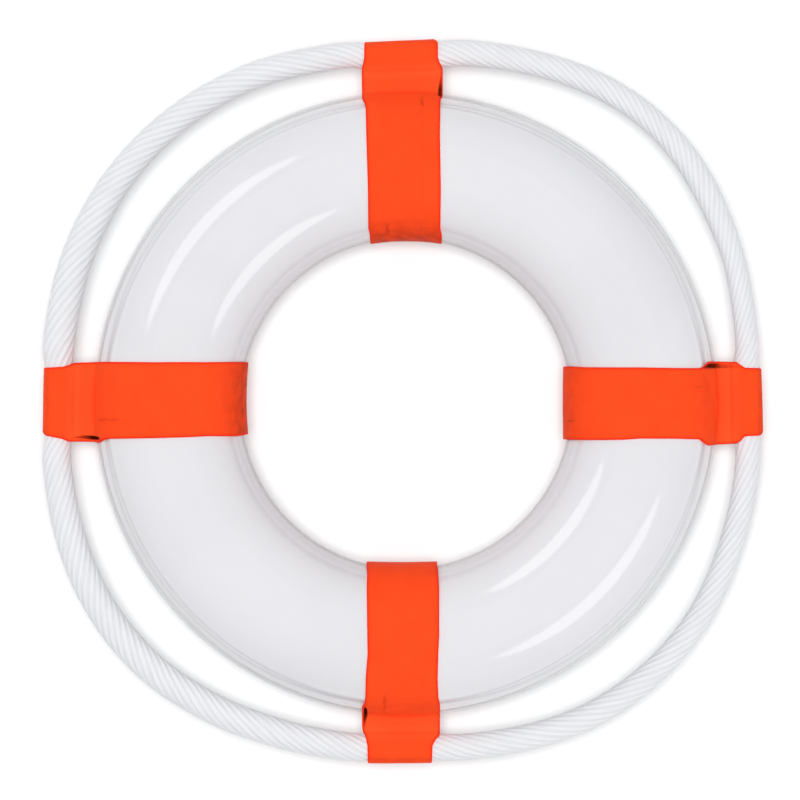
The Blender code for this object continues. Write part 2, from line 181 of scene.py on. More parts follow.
# The front of each band from the bore outwards: distance from the axis, and half widths on its
# counterclockwise and its clockwise side
BAND_EDGES = {
    "right": [
        (0.1090, 0.0261, 0.0249),
        (0.1260, 0.0253, 0.0252),
        (0.1500, 0.0252, 0.0251),
        (0.1620, 0.0252, 0.0242),
        (0.1860, 0.0248, 0.0243),
        (0.2035, 0.0247, 0.0248),
        (0.2065, 0.0256, 0.0268),
        (0.2107, 0.0294, 0.0293),
        (0.2160, 0.0294, 0.0286),
        (0.2300, 0.0292, 0.0278),
        (0.2330, 0.0270, 0.0260),
        (0.2360, 0.0250, 0.0227),
        (0.2500, 0.0247, 0.0221),
    ],
    "top": [
        (0.1100, 0.0247, 0.0250),
        (0.1170, 0.0251, 0.0249),
        (0.1210, 0.0261, 0.0239),
        (0.1500, 0.0264, 0.0242),
        (0.1860, 0.0275, 0.0236),
        (0.2060, 0.0280, 0.0239),
        (0.2095, 0.0288, 0.0240),
        (0.2120, 0.0303, 0.0243),
        (0.2140, 0.0306, 0.0256),
        (0.2190, 0.0306, 0.0257),
        (0.2335, 0.0308, 0.0257),
        (0.2380, 0.0295, 0.0233),
        (0.2410, 0.0291, 0.0223),
        (0.2530, 0.0290, 0.0222),
    ],
    "left": [
        (0.1100, 0.0213, 0.0289),
        (0.1160, 0.0226, 0.0290),
        (0.1380, 0.0225, 0.0288),
        (0.1500, 0.0232, 0.0289),
        (0.1740, 0.0239, 0.0288),
        (0.2060, 0.0244, 0.0291),
        (0.2100, 0.0254, 0.0292),
        (0.2140, 0.0274, 0.0292),
        (0.2175, 0.0266, 0.0290),
        (0.2310, 0.0265, 0.0285),
        (0.2350, 0.0264, 0.0268),
        (0.2390, 0.0246, 0.0257),
        (0.2530, 0.0218, 0.0250),
    ],
    "bottom": [
        (0.1100, 0.0216, 0.0275),
        (0.1180, 0.0224, 0.0269),
        (0.1280, 0.0230, 0.0272),
        (0.1600, 0.0231, 0.0268),
        (0.1740, 0.0224, 0.0266),
        (0.1900, 0.0220, 0.0279),
        (0.2040, 0.0226, 0.0282),
        (0.2080, 0.0236, 0.0286),
        (0.2115, 0.0238, 0.0306),
        (0.2250, 0.0237, 0.0306),
        (0.2285, 0.0238, 0.0300),
        (0.2310, 0.0233, 0.0284),
        (0.2340, 0.0205, 0.0277),
        (0.2380, 0.0185, 0.0268),
        (0.2510, 0.0181, 0.0265),
    ],
}

# How far the corners at each band's outer end are rounded, on the same two sides
CORNERS = {
    "right": (0.0012, 0.0028),
    "top": (0.0022, 0.0022),
    "left": (0.0030, 0.0012),
    "bottom": (0.0008, 0.0006),
}

# Beside the ring's edge the band gapes between its two layers; the front is dented there and
# painted dark as painted shade. On which side it does so, and at distances from the axis, how far
# from the middle the opening starts and ends, and how dark its painted shade is
OPENINGS = {
    "right": (1, [
        (0.2055, 0.0252, 0.0252, 0.0),
        (0.2080, 0.0247, 0.0262, 0.8),
        (0.2110, 0.0246, 0.0280, 1.0),
        (0.2160, 0.0247, 0.0280, 0.9),
        (0.2200, 0.0247, 0.0274, 0.5),
        (0.2260, 0.0247, 0.0268, 0.2),
        (0.2320, 0.0254, 0.0254, 0.0),
    ]),
    "top": (-1, [
        (0.2125, 0.0242, 0.0244, 0.4),
        (0.2145, 0.0224, 0.0251, 0.9),
        (0.2195, 0.0228, 0.0252, 0.9),
        (0.2250, 0.0237, 0.0252, 0.6),
        (0.2310, 0.0247, 0.0250, 0.3),
    ]),
    "left": (1, [
        (0.2122, 0.0243, 0.0246, 0.6),
        (0.2145, 0.0228, 0.0252, 1.0),
        (0.2190, 0.0222, 0.0250, 1.0),
        (0.2240, 0.0222, 0.0243, 0.7),
        (0.2320, 0.0232, 0.0236, 0.2),
    ]),
    "bottom": (-1, [
        (0.2100, 0.0285, 0.0287, 0.4),
        (0.2125, 0.0268, 0.0294, 1.0),
        (0.2160, 0.0268, 0.0294, 1.0),
        (0.2210, 0.0281, 0.0296, 0.8),
        (0.2280, 0.0295, 0.0297, 0.3),
    ]),
}
OPENING_DEPTH = 0.0012
OPENING_BLUR = 0.0003
OPENING_LIP_BLUR = 0.0002

# Where the band dips over the ring's outer edge its cloth lies in shade, from the bore's side up
# to a line across it: that line's distance from the axis, how much it slants, and how dark it is
SHADED = {
    "right": (0.2128, -0.24, 0.070),
    "top": (0.2175, 0.10, 0.022),
    "left": (0.2160, 0.05, 0.010),
    "bottom": (0.2150, -0.06, 0.075),
}
SHADE_EDGE = (-0.0012, 0.0006)
SHADE_FADE = (0.0180, 0.0020)

# Where the cloth turns down round the rope a line of painted shade runs across it: its distance
# from the axis, and how dark it is
TURN_LINES = {
    "right": (0.2462, 0.16),
    "top": (0.2512, 0.06),
    "left": (0.2492, 0.12),
    "bottom": (0.2472, 0.13),
}
TURN_LINE_WIDTH = 0.0018

# Where each band's run through the bore stands off a straight line, at its edges and its middle
BORE_RUN = {
    "right": (-0.0007, -0.0010),
    "top": (0.0007, 0.0026),
    "left": (0.0002, 0.0014),
    "bottom": (0.0000, 0.0004),
}

# How dark the painted shade on each band is where it bends into the bore
BORE_BEND_SHADE = {"right": 0.11, "top": 0.31, "left": 0.28, "bottom": 0.05}

# The painted shade grows towards the bore in two steps: the share of each, and how far from the
# bore's edge it starts and is full. It lies in streaks
BEND_SHADE_STEPS = [(0.28, 0.0160, 0.0090), (0.72, 0.0085, -0.0020)]
BEND_SHADE_STREAKS = (420.0, 170.0)
BEND_SHADE_UNEVEN = 0.30

# Small pleats in the front of each band, dented and darkened with painted shade: how far to the
# counterclockwise side, from and to what distance from the axis, and how deep
PLEATS = {
    "right": [(0.0117, 0.1980, 0.2110, 0.22), (-0.0120, 0.1120, 0.1200, 0.30)],
    "top": [
        (-0.0112, 0.2050, 0.2150, 0.34),
        (-0.0112, 0.1180, 0.2060, 0.07),
        (0.0129, 0.1145, 0.1250, 0.42),
    ],
    "left": [(0.0112, 0.1960, 0.2150, 0.26), (-0.0110, 0.1125, 0.1190, 0.30)],
    "bottom": [(-0.0148, 0.2010, 0.2150, 0.34), (0.0111, 0.2080, 0.2175, 0.14)],
}
PLEAT_DEPTH = 0.0006
PLEAT_WIDTH = 0.0009
PLEAT_FADE = 0.003
PLEAT_WAVER = 0.0002
PLEAT_WAVES = 900.0

# Where the cloth dips between the ring and the eye, painted light makes it paler: how much and over
# what width beside each, how much in between, and how far that reaches past the ring and the eye
RING_FOOT = RING_OUTER_RADIUS + 0.0005
PAINTED_LIGHT_AT_EYE = (0.80, 0.0042)
PAINTED_LIGHT_AT_RING = (0.40, 0.0048)
PAINTED_LIGHT_BETWEEN = 0.2
PAINTED_LIGHT_PAST_RING = 0.005
PAINTED_LIGHT_PAST_EYE = 0.006

# Ripples in a band's cloth: how close they are along and across it, and how high. Those by the
# pinch and the bore lie that far in from the ring's edge there and fade over that width
SLACK = (55.0, 45.0)
SLACK_HEIGHT = 0.00022
PINCH_RIPPLES = (240.0, 34.0)
PINCH_RIPPLE_HEIGHT = 0.00020
PINCH_RIPPLE_INSET = 0.006
PINCH_RIPPLE_WIDTH = 0.011
BORE_RIPPLES = (260.0, 50.0)
BORE_RIPPLE_HEIGHT = 0.00022
BORE_RIPPLE_INSET = 0.003
BORE_RIPPLE_WIDTH = 0.008


# Settings

AS_COLOUR = {"subtype": "COLOR", "size": 3, "min": 0.0, "max": 1.0}
AS_SHARE = {"min": 0.0, "max": 1.0}


class ShellSettings(bpy.types.PropertyGroup):
    """The moulded float."""

    colour: FloatVectorProperty(
        name="Colour",
        description="Colour of the moulded shell",
        default=(0.806, 0.806, 0.838),
        **AS_COLOUR,
    )
    roughness: FloatProperty(
        name="Roughness",
        description="How dull the shell's gloss is",
        default=0.10,
        **AS_SHARE,
    )
    wall: FloatProperty(
        name="Wall",
        description="Thickness of the moulded wall",
        default=0.0025,
        unit="LENGTH",
    )
    segments: IntProperty(
        name="Segments",
        description="Steps round the ring",
        default=288,
        min=48,
    )
    steps: IntProperty(
        name="Section steps",
        description="Steps in each quarter of the section",
        default=28,
        min=6,
    )


class BandSettings(bpy.types.PropertyGroup):
    """The four wrapped bands."""

    colour: FloatVectorProperty(
        name="Colour",
        description="Colour of the coated fabric",
        default=(1.0, 0.080, 0.017),
        **AS_COLOUR,
    )
    edge_colour: FloatVectorProperty(
        name="Edge colour",
        description="Colour of the fabric's cut edges",
        default=(0.92, 0.026, 0.008),
        **AS_COLOUR,
    )
    # Painted light: the paler colour of the cloth in its dips between the ring and the eye
    painted_light_colour: FloatVectorProperty(
        name="Fold colour",
        description="Colour of the fabric where it is worn in its dips",
        default=(1.0, 0.130, 0.034),
        **AS_COLOUR,
    )
    # A painted glow: light that the cloth gives off of itself
    painted_glow: FloatProperty(
        name="Fluorescence",
        description="How much the fabric's dye glows",
        default=0.09,
        **AS_SHARE,
    )
    roughness: FloatProperty(
        name="Roughness",
        description="How dull the fabric's coating is",
        default=0.52,
        **AS_SHARE,
    )
    weave: FloatProperty(
        name="Weave pitch",
        description="From one thread of the fabric to the next",
        default=0.0009,
        unit="LENGTH",
    )


class RopeSettings(bpy.types.PropertyGroup):
    """The laid grab line."""

    colour: FloatVectorProperty(
        name="Colour",
        description="Colour of the rope's fibres",
        default=(0.890, 0.897, 0.926),
        **AS_COLOUR,
    )
    strands: IntProperty(
        name="Strands",
        description="Strands laid round the rope's core",
        default=12,
        min=3,
    )
    lay: FloatProperty(
        name="Lay",
        description="Length in which a strand goes once round the rope",
        default=0.130,
        unit="LENGTH",
    )
    groove: FloatProperty(
        name="Groove",
        description="Depth of the grooves between strands, as a share of the rope's radius",
        default=0.060,
        min=0.0,
        max=0.4,
    )
    step: FloatProperty(
        name="Step",
        description="Distance between the rings of points along the rope",
        default=0.0011,
        unit="LENGTH",
    )


class StageSettings(bpy.types.PropertyGroup):
    """Floor, light and camera."""

    camera_height: FloatProperty(
        name="Camera height",
        description="How far the camera stands above the ring's middle plane",
        default=8.0,
        unit="LENGTH",
    )
    picture_width: FloatProperty(
        name="Picture width",
        description="Width of what the camera sees in the ring's middle plane",
        default=0.5574,
        unit="LENGTH",
    )
    camera_roll: FloatProperty(
        name="Camera roll",
        description="Turn of the camera about the ring's axis",
        default=0.0,
        unit="ROTATION",
    )
    overhead: FloatProperty(
        name="Overhead light",
        description="Strength of the soft light from over the camera",
        default=1.60,
        min=0.0,
    )
    surround: FloatProperty(
        name="Surround",
        description="Strength of the light from all round",
        default=0.30,
        min=0.0,
    )
    floor_light: FloatProperty(
        name="Floor light",
        description="Strength of the light that falls on the floor alone, round the object",
        default=2.5,
        min=0.0,
    )
    strips: FloatProperty(
        name="Strip lights",
        description="Brightness of the two strip lights that streak the gloss",
        default=1.45,
        min=0.0,
    )


# Shapes shared by the pieces

SAME_PLACE = 1e-6


def polar(radius, angle, centre=(0.0, 0.0)):
    """A point at an angle in degrees and a radius from a centre."""
    turn = math.radians(angle)
    return centre[0] + radius * math.cos(turn), centre[1] + radius * math.sin(turn)


def smoothstep(low, high, value):
    share = min(1.0, max(0.0, (value - low) / (high - low)))
    return share * share * (3 - 2 * share)


def mix(low, high, share):
    return low + (high - low) * share


def dent(value, width):
    """A soft bump of height 1 about 0."""
    return math.exp(-((value / width) ** 2))


def quarter_turn(steps):
    """Angles from nothing to a quarter turn, in radians."""
    return [math.radians(90.0 * i / steps) for i in range(steps + 1)]


def linked(name, data):
    """A new object in the scene."""
    made = bpy.data.objects.new(name, data)
    bpy.context.scene.collection.objects.link(made)
    return made


def meshed(name, shape):
    """The mesh of a shape that is done with."""
    mesh = bpy.data.meshes.new(name)
    shape.to_mesh(mesh)
    shape.free()
    return mesh


def add_piece(name, mesh, finish, body):
    """Gives a mesh its material and links it. It rides on a body, unless that is None."""
    mesh.materials.append(finish)
    piece = linked(name, mesh)
    if body:
        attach(piece, body)
    return piece


def refinish(node, finish):
    """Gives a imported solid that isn't replaced its material."""
    mesh = frame["nodes"][node].data
    mesh.materials.clear()
    mesh.materials.append(finish)


def turned_mesh(name, profile, segments, sharp_angle, closed=True):
    """Spins a profile of (radius, height) points round Z. Edges over the angle stay sharp."""
    shape = bmesh.new()
    points = [shape.verts.new((radius, 0.0, height)) for radius, height in profile]
    following = points[1:] + points[:1] if closed else points[1:]
    edges = [shape.edges.new(pair) for pair in zip(points, following)]
    bmesh.ops.spin(
        shape,
        geom=points + edges,
        axis=(0.0, 0.0, 1.0),
        cent=(0.0, 0.0, 0.0),
        angle=math.tau,
        steps=segments,
        use_merge=True,
    )
    bmesh.ops.remove_doubles(shape, verts=shape.verts, dist=SAME_PLACE)
    bmesh.ops.recalc_face_normals(shape, faces=shape.faces)
    mesh = meshed(name, shape)
    mesh.shade_smooth()
    mesh.set_sharp_from_angle(angle=math.radians(sharp_angle))
    return mesh


def grid_mesh(name, rows, close_rows, uvs):
    """A mesh of rows of points, each row closed on itself. Open ends are capped.

    uvs gives a (u, v) for a row number and a point number, which may run one past the last.
    """
    across = len(rows[0])
    points = [tuple(point) for row in rows for point in row]
    faces = []
    corners = []
    last = len(rows) if close_rows else len(rows) - 1
    for i in range(last):
        after = (i + 1) % len(rows)
        for j in range(across):
            beside = (j + 1) % across
            faces.append(
                (
                    i * across + j,
                    i * across + beside,
                    after * across + beside,
                    after * across + j,
                )
            )
            corners += [uvs(i, j), uvs(i, j + 1), uvs(i + 1, j + 1), uvs(i + 1, j)]
    if not close_rows:
        faces.append(tuple(reversed(range(across))))
        corners += [uvs(0, j) for j in reversed(range(across))]
        end = (len(rows) - 1) * across
        faces.append(tuple(range(end, end + across)))
        corners += [uvs(len(rows) - 1, j) for j in range(across)]
    mesh = bpy.data.meshes.new(name)
    mesh.from_pydata(points, [], faces)
    layer = mesh.uv_layers.new(name="UVMap")
    layer.data.foreach_set("uv", np.array(corners, np.float32).ravel())
    mesh.shade_smooth()
    return mesh


# Materials


class Value:
    """A number on a socket, for shader maths written as plain expressions."""

    def __init__(self, nodes, socket):
        self.nodes = nodes
        self.socket = socket

    def worked(self, operation, *numbers):
        settings = {"operation": operation}
        return self.nodes.add("ShaderNodeMath", settings, dict(enumerate(numbers)))

    def __add__(self, other):
        return self.worked("ADD", self, other)

    def __radd__(self, other):
        return self.worked("ADD", other, self)

    def __sub__(self, other):
        return self.worked("SUBTRACT", self, other)

    def __rsub__(self, other):
        return self.worked("SUBTRACT", other, self)

    def __mul__(self, other):
        return self.worked("MULTIPLY", self, other)

    def __rmul__(self, other):
        return self.worked("MULTIPLY", other, self)

    def __truediv__(self, other):
        return self.worked("DIVIDE", self, other)

    def __rtruediv__(self, other):
        return self.worked("DIVIDE", other, self)

    def __pow__(self, other):
        return self.worked("POWER", self, other)

    def __abs__(self):
        return self.worked("ABSOLUTE", self)


class NodeSet:
    """Adds nodes to a tree."""

    def __init__(self, tree):
        self.tree = tree

    def plug(self, socket, value):
        if isinstance(value, Value):
            self.tree.links.new(value.socket, socket)
        elif socket.type == "RGBA" and len(value) == 3:
            socket.default_value = (*value, 1.0)
        else:
            socket.default_value = value

    def add(self, kind, settings=None, inputs=None, output=0):
        """Adds a node: its settings are set first, then its sockets by name or number."""
        node = self.tree.nodes.new(kind)
        for name, value in (settings or {}).items():
            setattr(node, name, value)
        for name, value in (inputs or {}).items():
            self.plug(node.inputs[name], value)
        return Value(self, node.outputs[output]) if node.outputs else None

    def sine(self, value):
        return value.worked("SINE", value)

    def part(self, value):
        """What is left of a number above its whole part."""
        return value.worked("FRACT", value)

    def least(self, value, other):
        return value.worked("MINIMUM", value, other)

    def most(self, value, other):
        return value.worked("MAXIMUM", value, other)

    def eased(self, value, low, high):
        """0 below low, 1 above high and smooth in between."""
        return self.add(
            "ShaderNodeMapRange",
            {"interpolation_type": "SMOOTHSTEP"},
            {"Value": value, "From Min": low, "From Max": high},
        )

    def coloured(self, share, first, second):
        """A colour between two others."""
        inputs = {0: share, 6: first, 7: second}
        return self.add("ShaderNodeMix", {"data_type": "RGBA"}, inputs, output=2)

    def coordinates(self, kind):
        return self.add("ShaderNodeTexCoord", None, None, output=kind)

    def noise(self, vector, scale, detail=2.0, roughness=0.5):
        inputs = {"Vector": vector, "Scale": scale, "Detail": detail, "Roughness": roughness}
        return self.add("ShaderNodeTexNoise", None, inputs)

    def marked(self, name):
        """A number that the mesh carries at its points."""
        return self.add("ShaderNodeAttribute", {"attribute_name": name}, None, output="Fac")

    def axes(self, vector):
        """A vector's three numbers."""
        split = self.add("ShaderNodeSeparateXYZ", None, {0: vector})
        return [Value(self, socket) for socket in split.socket.node.outputs]

    def joined(self, round_piece, along, scales):
        """A place on a piece that closes on itself: round it and along it, in their scales."""
        round_scale, along_scale = scales
        x, y = (part * round_scale for part in round_piece)
        return self.add("ShaderNodeCombineXYZ", None, {0: x, 1: y, 2: along * along_scale})

    def bump(self, height, distance, strength=1.0, normal=None):
        inputs = {"Strength": strength, "Distance": distance, "Height": height}
        if normal:
            inputs["Normal"] = normal
        return self.add("ShaderNodeBump", None, inputs)


class Finish(NodeSet):
    """A material with one plastic-like shader."""

    def __init__(self, name, colour, roughness):
        self.material = bpy.data.materials.new(name)
        self.material.use_nodes = True
        super().__init__(self.material.node_tree)
        self.shader = self.tree.nodes["Principled BSDF"]
        self.set("Base Color", colour)
        self.set("Roughness", roughness)

    def set(self, name, value):
        self.plug(self.shader.inputs[name], value)


BLACK = (0.0, 0.0, 0.0)
WHITE = (1.0, 1.0, 1.0)


def darker(colour, share):
    return tuple(part * share for part in colour)


# Painted shade and a painted highlight on the shell, and its gloss rubbed dull. A pair is the
# distances from the axis where a change starts and ends
SHELL_SHADE = 0.97
BORE_PAINTED_SHADE = 0.16
BORE_SHADE_FADE = (0.1165, 0.1250)
SHELL_GROOVE_SHADE = 0.08
SHELL_GROOVE_RADIUS = 0.2106
SHELL_GROOVE_WIDTH = 0.0018
RIM_PAINTED_HIGHLIGHT = 0.55
RIM_START = (0.2122, 0.2134)
SEAM_PAINTED_SHADE = 0.15
SEAM_START = (0.2147, 0.2157)
BORE_GLOSSY = (0.1160, 0.1180)
SEAM_DULL = (RING_OUTER_RADIUS - 0.0014, RING_OUTER_RADIUS - 0.0004)
RUBBED_ROUGHNESS = 0.05
DULL_ROUGHNESS = 0.35


def shell_finish(settings):
    """Glossy moulded plastic: waves, orange peel, dull edges, painted shade and a painted
    highlight.
    """
    finish = Finish("white_shell", settings.colour, settings.roughness)
    finish.set("Coat Roughness", 0.06)
    place = finish.coordinates("Object")
    cloud = finish.noise(place, scale=9.0, detail=4.0)
    shade = darker(settings.colour, SHELL_SHADE)
    tone = finish.coloured(finish.eased(cloud, 0.35, 0.65), shade, settings.colour)
    # Painted shade darkens the bore's edge and the shallow groove inside the outer rim
    across, along, _ = finish.axes(place)
    radius = (across * across + along * along) ** 0.5
    bore_shade = 1.0 - finish.eased(radius, *BORE_SHADE_FADE)
    tone = finish.coloured(bore_shade * BORE_PAINTED_SHADE, tone, BLACK)
    off_groove = abs(radius - SHELL_GROOVE_RADIUS) / SHELL_GROOVE_WIDTH
    groove = finish.most(1.0 - off_groove, 0.0)
    tone = finish.coloured(groove * SHELL_GROOVE_SHADE, tone, BLACK)
    # A painted highlight lightens the rim outside the groove; painted shade darkens its middle seam
    rim = finish.eased(radius, *RIM_START)
    tone = finish.coloured(rim * RIM_PAINTED_HIGHLIGHT, tone, WHITE)
    seam = finish.eased(radius, *SEAM_START)
    finish.set("Base Color", finish.coloured(seam * SEAM_PAINTED_SHADE, tone, BLACK))
    patches = finish.noise(place, scale=26.0, detail=6.0, roughness=0.7)
    rubbed = finish.eased(patches, 0.52, 0.78)
    # Both edges are rubbed dull, the bore's by hands and the rim's seam by the ground
    dull = 1.0 - finish.eased(radius, *BORE_GLOSSY)
    dull = dull + finish.eased(radius, *SEAM_DULL)
    finish.set("Coat Weight", 1.0 - dull)
    roughness = settings.roughness + RUBBED_ROUGHNESS * rubbed + DULL_ROUGHNESS * dull
    finish.set("Roughness", roughness)
    waves = finish.noise(place, scale=16.0, detail=1.0)
    peel = finish.noise(place, scale=900.0)
    wavy = finish.bump(waves, distance=0.0006, strength=0.5)
    finish.set("Normal", finish.bump(peel, distance=0.00003, strength=0.35, normal=wavy))
    return finish.material


# The fabric's cloudy patches, painted shade, painted glow and the share of threads in its relief
BAND_SHADE = (0.96, 0.92, 0.90)
BAND_PAINTED_SHADE = 0.05
BLOTCHES = 0.9
PAINTED_GLOW_COLOUR = (1.0, 0.03, 0.0)
CLOUD_ROUGHNESS = 0.12
THREAD_SHARE = 0.6


def band_finish(settings):
    """Coated woven fabric. U and V of its map are metres across and along the band."""
    finish = Finish("orange_band", settings.colour, settings.roughness)
    finish.set("Specular IOR Level", 0.03)
    place = finish.coordinates("UV")
    across, along, _ = finish.axes(place)
    cloud = finish.noise(place, scale=60.0, detail=4.0, roughness=0.6)
    shade = tuple(part * share for part, share in zip(settings.colour, BAND_SHADE))
    tone = finish.coloured(finish.eased(cloud, 0.30, 0.62), shade, settings.colour)
    # Painted light makes the cloth paler in its dips between the ring and the eye
    tone = finish.coloured(finish.marked("painted_light"), tone, settings.painted_light_colour)
    # The painted shade lies in blotches, and what is wholly dark stays so
    marked = finish.marked("dark")
    spots = finish.noise(place, scale=130.0, detail=4.0, roughness=0.6)
    blotches = finish.eased(spots, 0.34, 0.66)
    dark = marked + marked * (1.0 - marked) * (blotches - 0.5) * BLOTCHES
    tone = finish.coloured(dark, tone, darker(settings.colour, BAND_PAINTED_SHADE))
    # The cloth is darker and redder along both its edges
    finish.set("Base Color", finish.coloured(finish.marked("edge"), tone, settings.edge_colour))
    # A painted glow: the cloth gives off a little light of its own, except where shade is painted
    finish.set("Emission Color", finish.coloured(dark, PAINTED_GLOW_COLOUR, BLACK))
    finish.set("Emission Strength", settings.painted_glow)
    threads = math.tau / settings.weave
    warp = finish.sine(across * threads)
    weft = finish.sine(along * threads)
    weave = 0.5 + 0.25 * (warp + weft)
    grain = finish.noise(place, scale=2400.0)
    height = weave * THREAD_SHARE + grain * (1.0 - THREAD_SHARE)
    clouded = CLOUD_ROUGHNESS * finish.eased(cloud, 0.4, 0.7)
    finish.set("Roughness", settings.roughness + clouded)
    creases = finish.noise(place, scale=130.0, detail=3.0)
    creased = finish.bump(creases, distance=0.0008, strength=0.25)
    finish.set("Normal", finish.bump(height, distance=0.00012, strength=0.45, normal=creased))
    return finish.material


# How close the rope's fibres and yarns are round it and along it, and how dark its shades are:
# the random one, and the painted shade in the grooves between strands
FIBRES = (9.0, 60.0)
YARNS = (4.0, 22.0)
ROPE_SHADE = 0.93
GROOVE_SHADE = 0.80
GROOVE_SHARE = 0.5


def rope_finish(settings):
    """Laid fibre rope. U goes once round the rope with its strands, V is metres along it."""
    finish = Finish("white_rope", settings.colour, 0.55)
    place = finish.coordinates("UV")
    around, along, _ = finish.axes(place)
    within = abs(finish.part(around * float(settings.strands)) * 2.0 - 1.0)
    groove = finish.eased(within, 0.10, 1.0)
    # Fibres run along the strands, so what is seen along them changes slowly
    turn = around * math.tau
    round_rope = (finish.sine(turn), finish.sine(turn + math.pi / 2))
    fibres = finish.noise(finish.joined(round_rope, along, FIBRES), scale=1.0, detail=4.0)
    yarns = finish.noise(finish.joined(round_rope, along, YARNS), scale=1.0)
    shade = darker(settings.colour, ROPE_SHADE)
    tone = finish.coloured(finish.eased(fibres, 0.35, 0.60), shade, settings.colour)
    # Painted shade darkens the strands towards the grooves between them
    deep = darker(settings.colour, GROOVE_SHADE)
    finish.set("Base Color", finish.coloured(groove * GROOVE_SHARE, tone, deep))
    finish.set("Roughness", 0.45 + 0.25 * fibres)
    finish.set("Sheen Weight", 0.25)
    finish.set("Sheen Roughness", 0.35)
    twisted = finish.bump(yarns, distance=0.0006, strength=0.6)
    finish.set("Normal", finish.bump(fibres, distance=0.00025, strength=0.6, normal=twisted))
    return finish.material


FOAM_COLOUR = (0.84, 0.78, 0.62)
FOAM_CELLS = ((0.86, 0.80, 0.64), (0.74, 0.66, 0.48))
PLUG_COLOUR = (0.72, 0.72, 0.74)
PLUG_SHADES = ((0.70, 0.70, 0.72), (0.75, 0.75, 0.77))
SLEEVE_COLOUR = (0.10, 0.10, 0.11)
SLEEVE_SHADES = ((0.08, 0.08, 0.09), (0.13, 0.13, 0.14))


def foam_finish():
    """Closed-cell filling with the skin of its cells."""
    finish = Finish("foam", FOAM_COLOUR, 0.92)
    place = finish.coordinates("Object")
    inputs = {"Vector": place, "Scale": 260.0}
    cells = finish.add("ShaderNodeTexVoronoi", {"feature": "F1"}, inputs)
    finish.set("Base Color", finish.coloured(cells, *FOAM_CELLS))
    finish.set("Normal", finish.bump(cells, distance=0.0008, strength=0.6))
    return finish.material


def plug_finish():
    """Satin moulded plastic with a fine spark-eroded grain."""
    finish = Finish("plug_plastic", PLUG_COLOUR, 0.36)
    place = finish.coordinates("Object")
    grain = finish.noise(place, scale=1400.0, detail=3.0)
    finish.set("Roughness", 0.30 + 0.16 * grain)
    finish.set("Normal", finish.bump(grain, distance=0.00005, strength=0.5))
    cloud = finish.noise(place, scale=90.0)
    finish.set("Base Color", finish.coloured(cloud, *PLUG_SHADES))
    return finish.material


def sleeve_finish():
    """Dark shrunk-on sleeve with a fine grain."""
    finish = Finish("join_sleeve", SLEEVE_COLOUR, 0.5)
    place = finish.coordinates("Object")
    grain = finish.noise(place, scale=700.0, detail=3.0)
    finish.set("Base Color", finish.coloured(grain, *SLEEVE_SHADES))
    finish.set("Roughness", 0.42 + 0.2 * grain)
    finish.set("Normal", finish.bump(grain, distance=0.0001, strength=0.5))
    return finish.material


# The moulded float

SEAM_GAP = 0.0003
SEAM_LAP = 0.0040
SEAM_ROUND = 0.0002
SEAM_ROUND_STEPS = 4
BEAD_RADIUS = 0.0010
BEAD_STEPS = 8
BEAD_FOOT = 0.0003
BEAD_CLEARANCE = 0.0004
# The groove round the outer shoulder: degrees from the seam to its upper edge, its deepest place
# and its lower edge
GROOVE_UPPER = 42.0
GROOVE_DEEPEST = 29.5
GROOVE_LOWER = 23.5
GROOVE_DEPTH = 0.0011
GROOVE_STEPS = 20
SHELL_SHARP = 35.0
HOLE_SEGMENTS = 64
# The plugs in the back, with the radius of the hole that each closes
PLUGS = (("fill_plug", 0.0060), ("vent_plug", 0.0030))


def side_offset(grown, height):
    """How far the section, grown by that much, stands from its middle at a height."""
    return LAND + math.sqrt((HALF_THICKNESS + grown) ** 2 - height**2)


def upward_angles(radius, height, steps):
    """Degrees from a height on a round corner up to its top."""
    start = math.degrees(math.asin(height / radius))
    return [start + (90.0 - start) * i / steps for i in range(steps + 1)]


def half_section(grown, height, steps):
    """The section's outline above a height, from its outer side over the top to its inner."""
    radius = HALF_THICKNESS + grown
    corner = [polar(radius, angle, (LAND, 0.0)) for angle in upward_angles(radius, height, steps)]
    return corner + [(-x, z) for x, z in reversed(corner)]


def grooved_shoulder(low, steps):
    """The outer shoulder from a height up to the top, with the shallow groove moulded in it."""
    angles = upward_angles(HALF_THICKNESS, low, steps)
    angles = [angle for angle in angles if not GROOVE_LOWER < angle < GROOVE_UPPER]
    for i in range(GROOVE_STEPS + 1):
        angles.append(mix(GROOVE_LOWER, GROOVE_UPPER, i / GROOVE_STEPS))
    points = []
    for angle in sorted(angles):
        depth = GROOVE_DEPTH * smoothstep(GROOVE_UPPER, GROOVE_DEEPEST, angle)
        depth *= smoothstep(GROOVE_LOWER, GROOVE_DEEPEST, angle)
        points.append(polar(HALF_THICKNESS - depth, angle, (LAND, 0.0)))
    return points


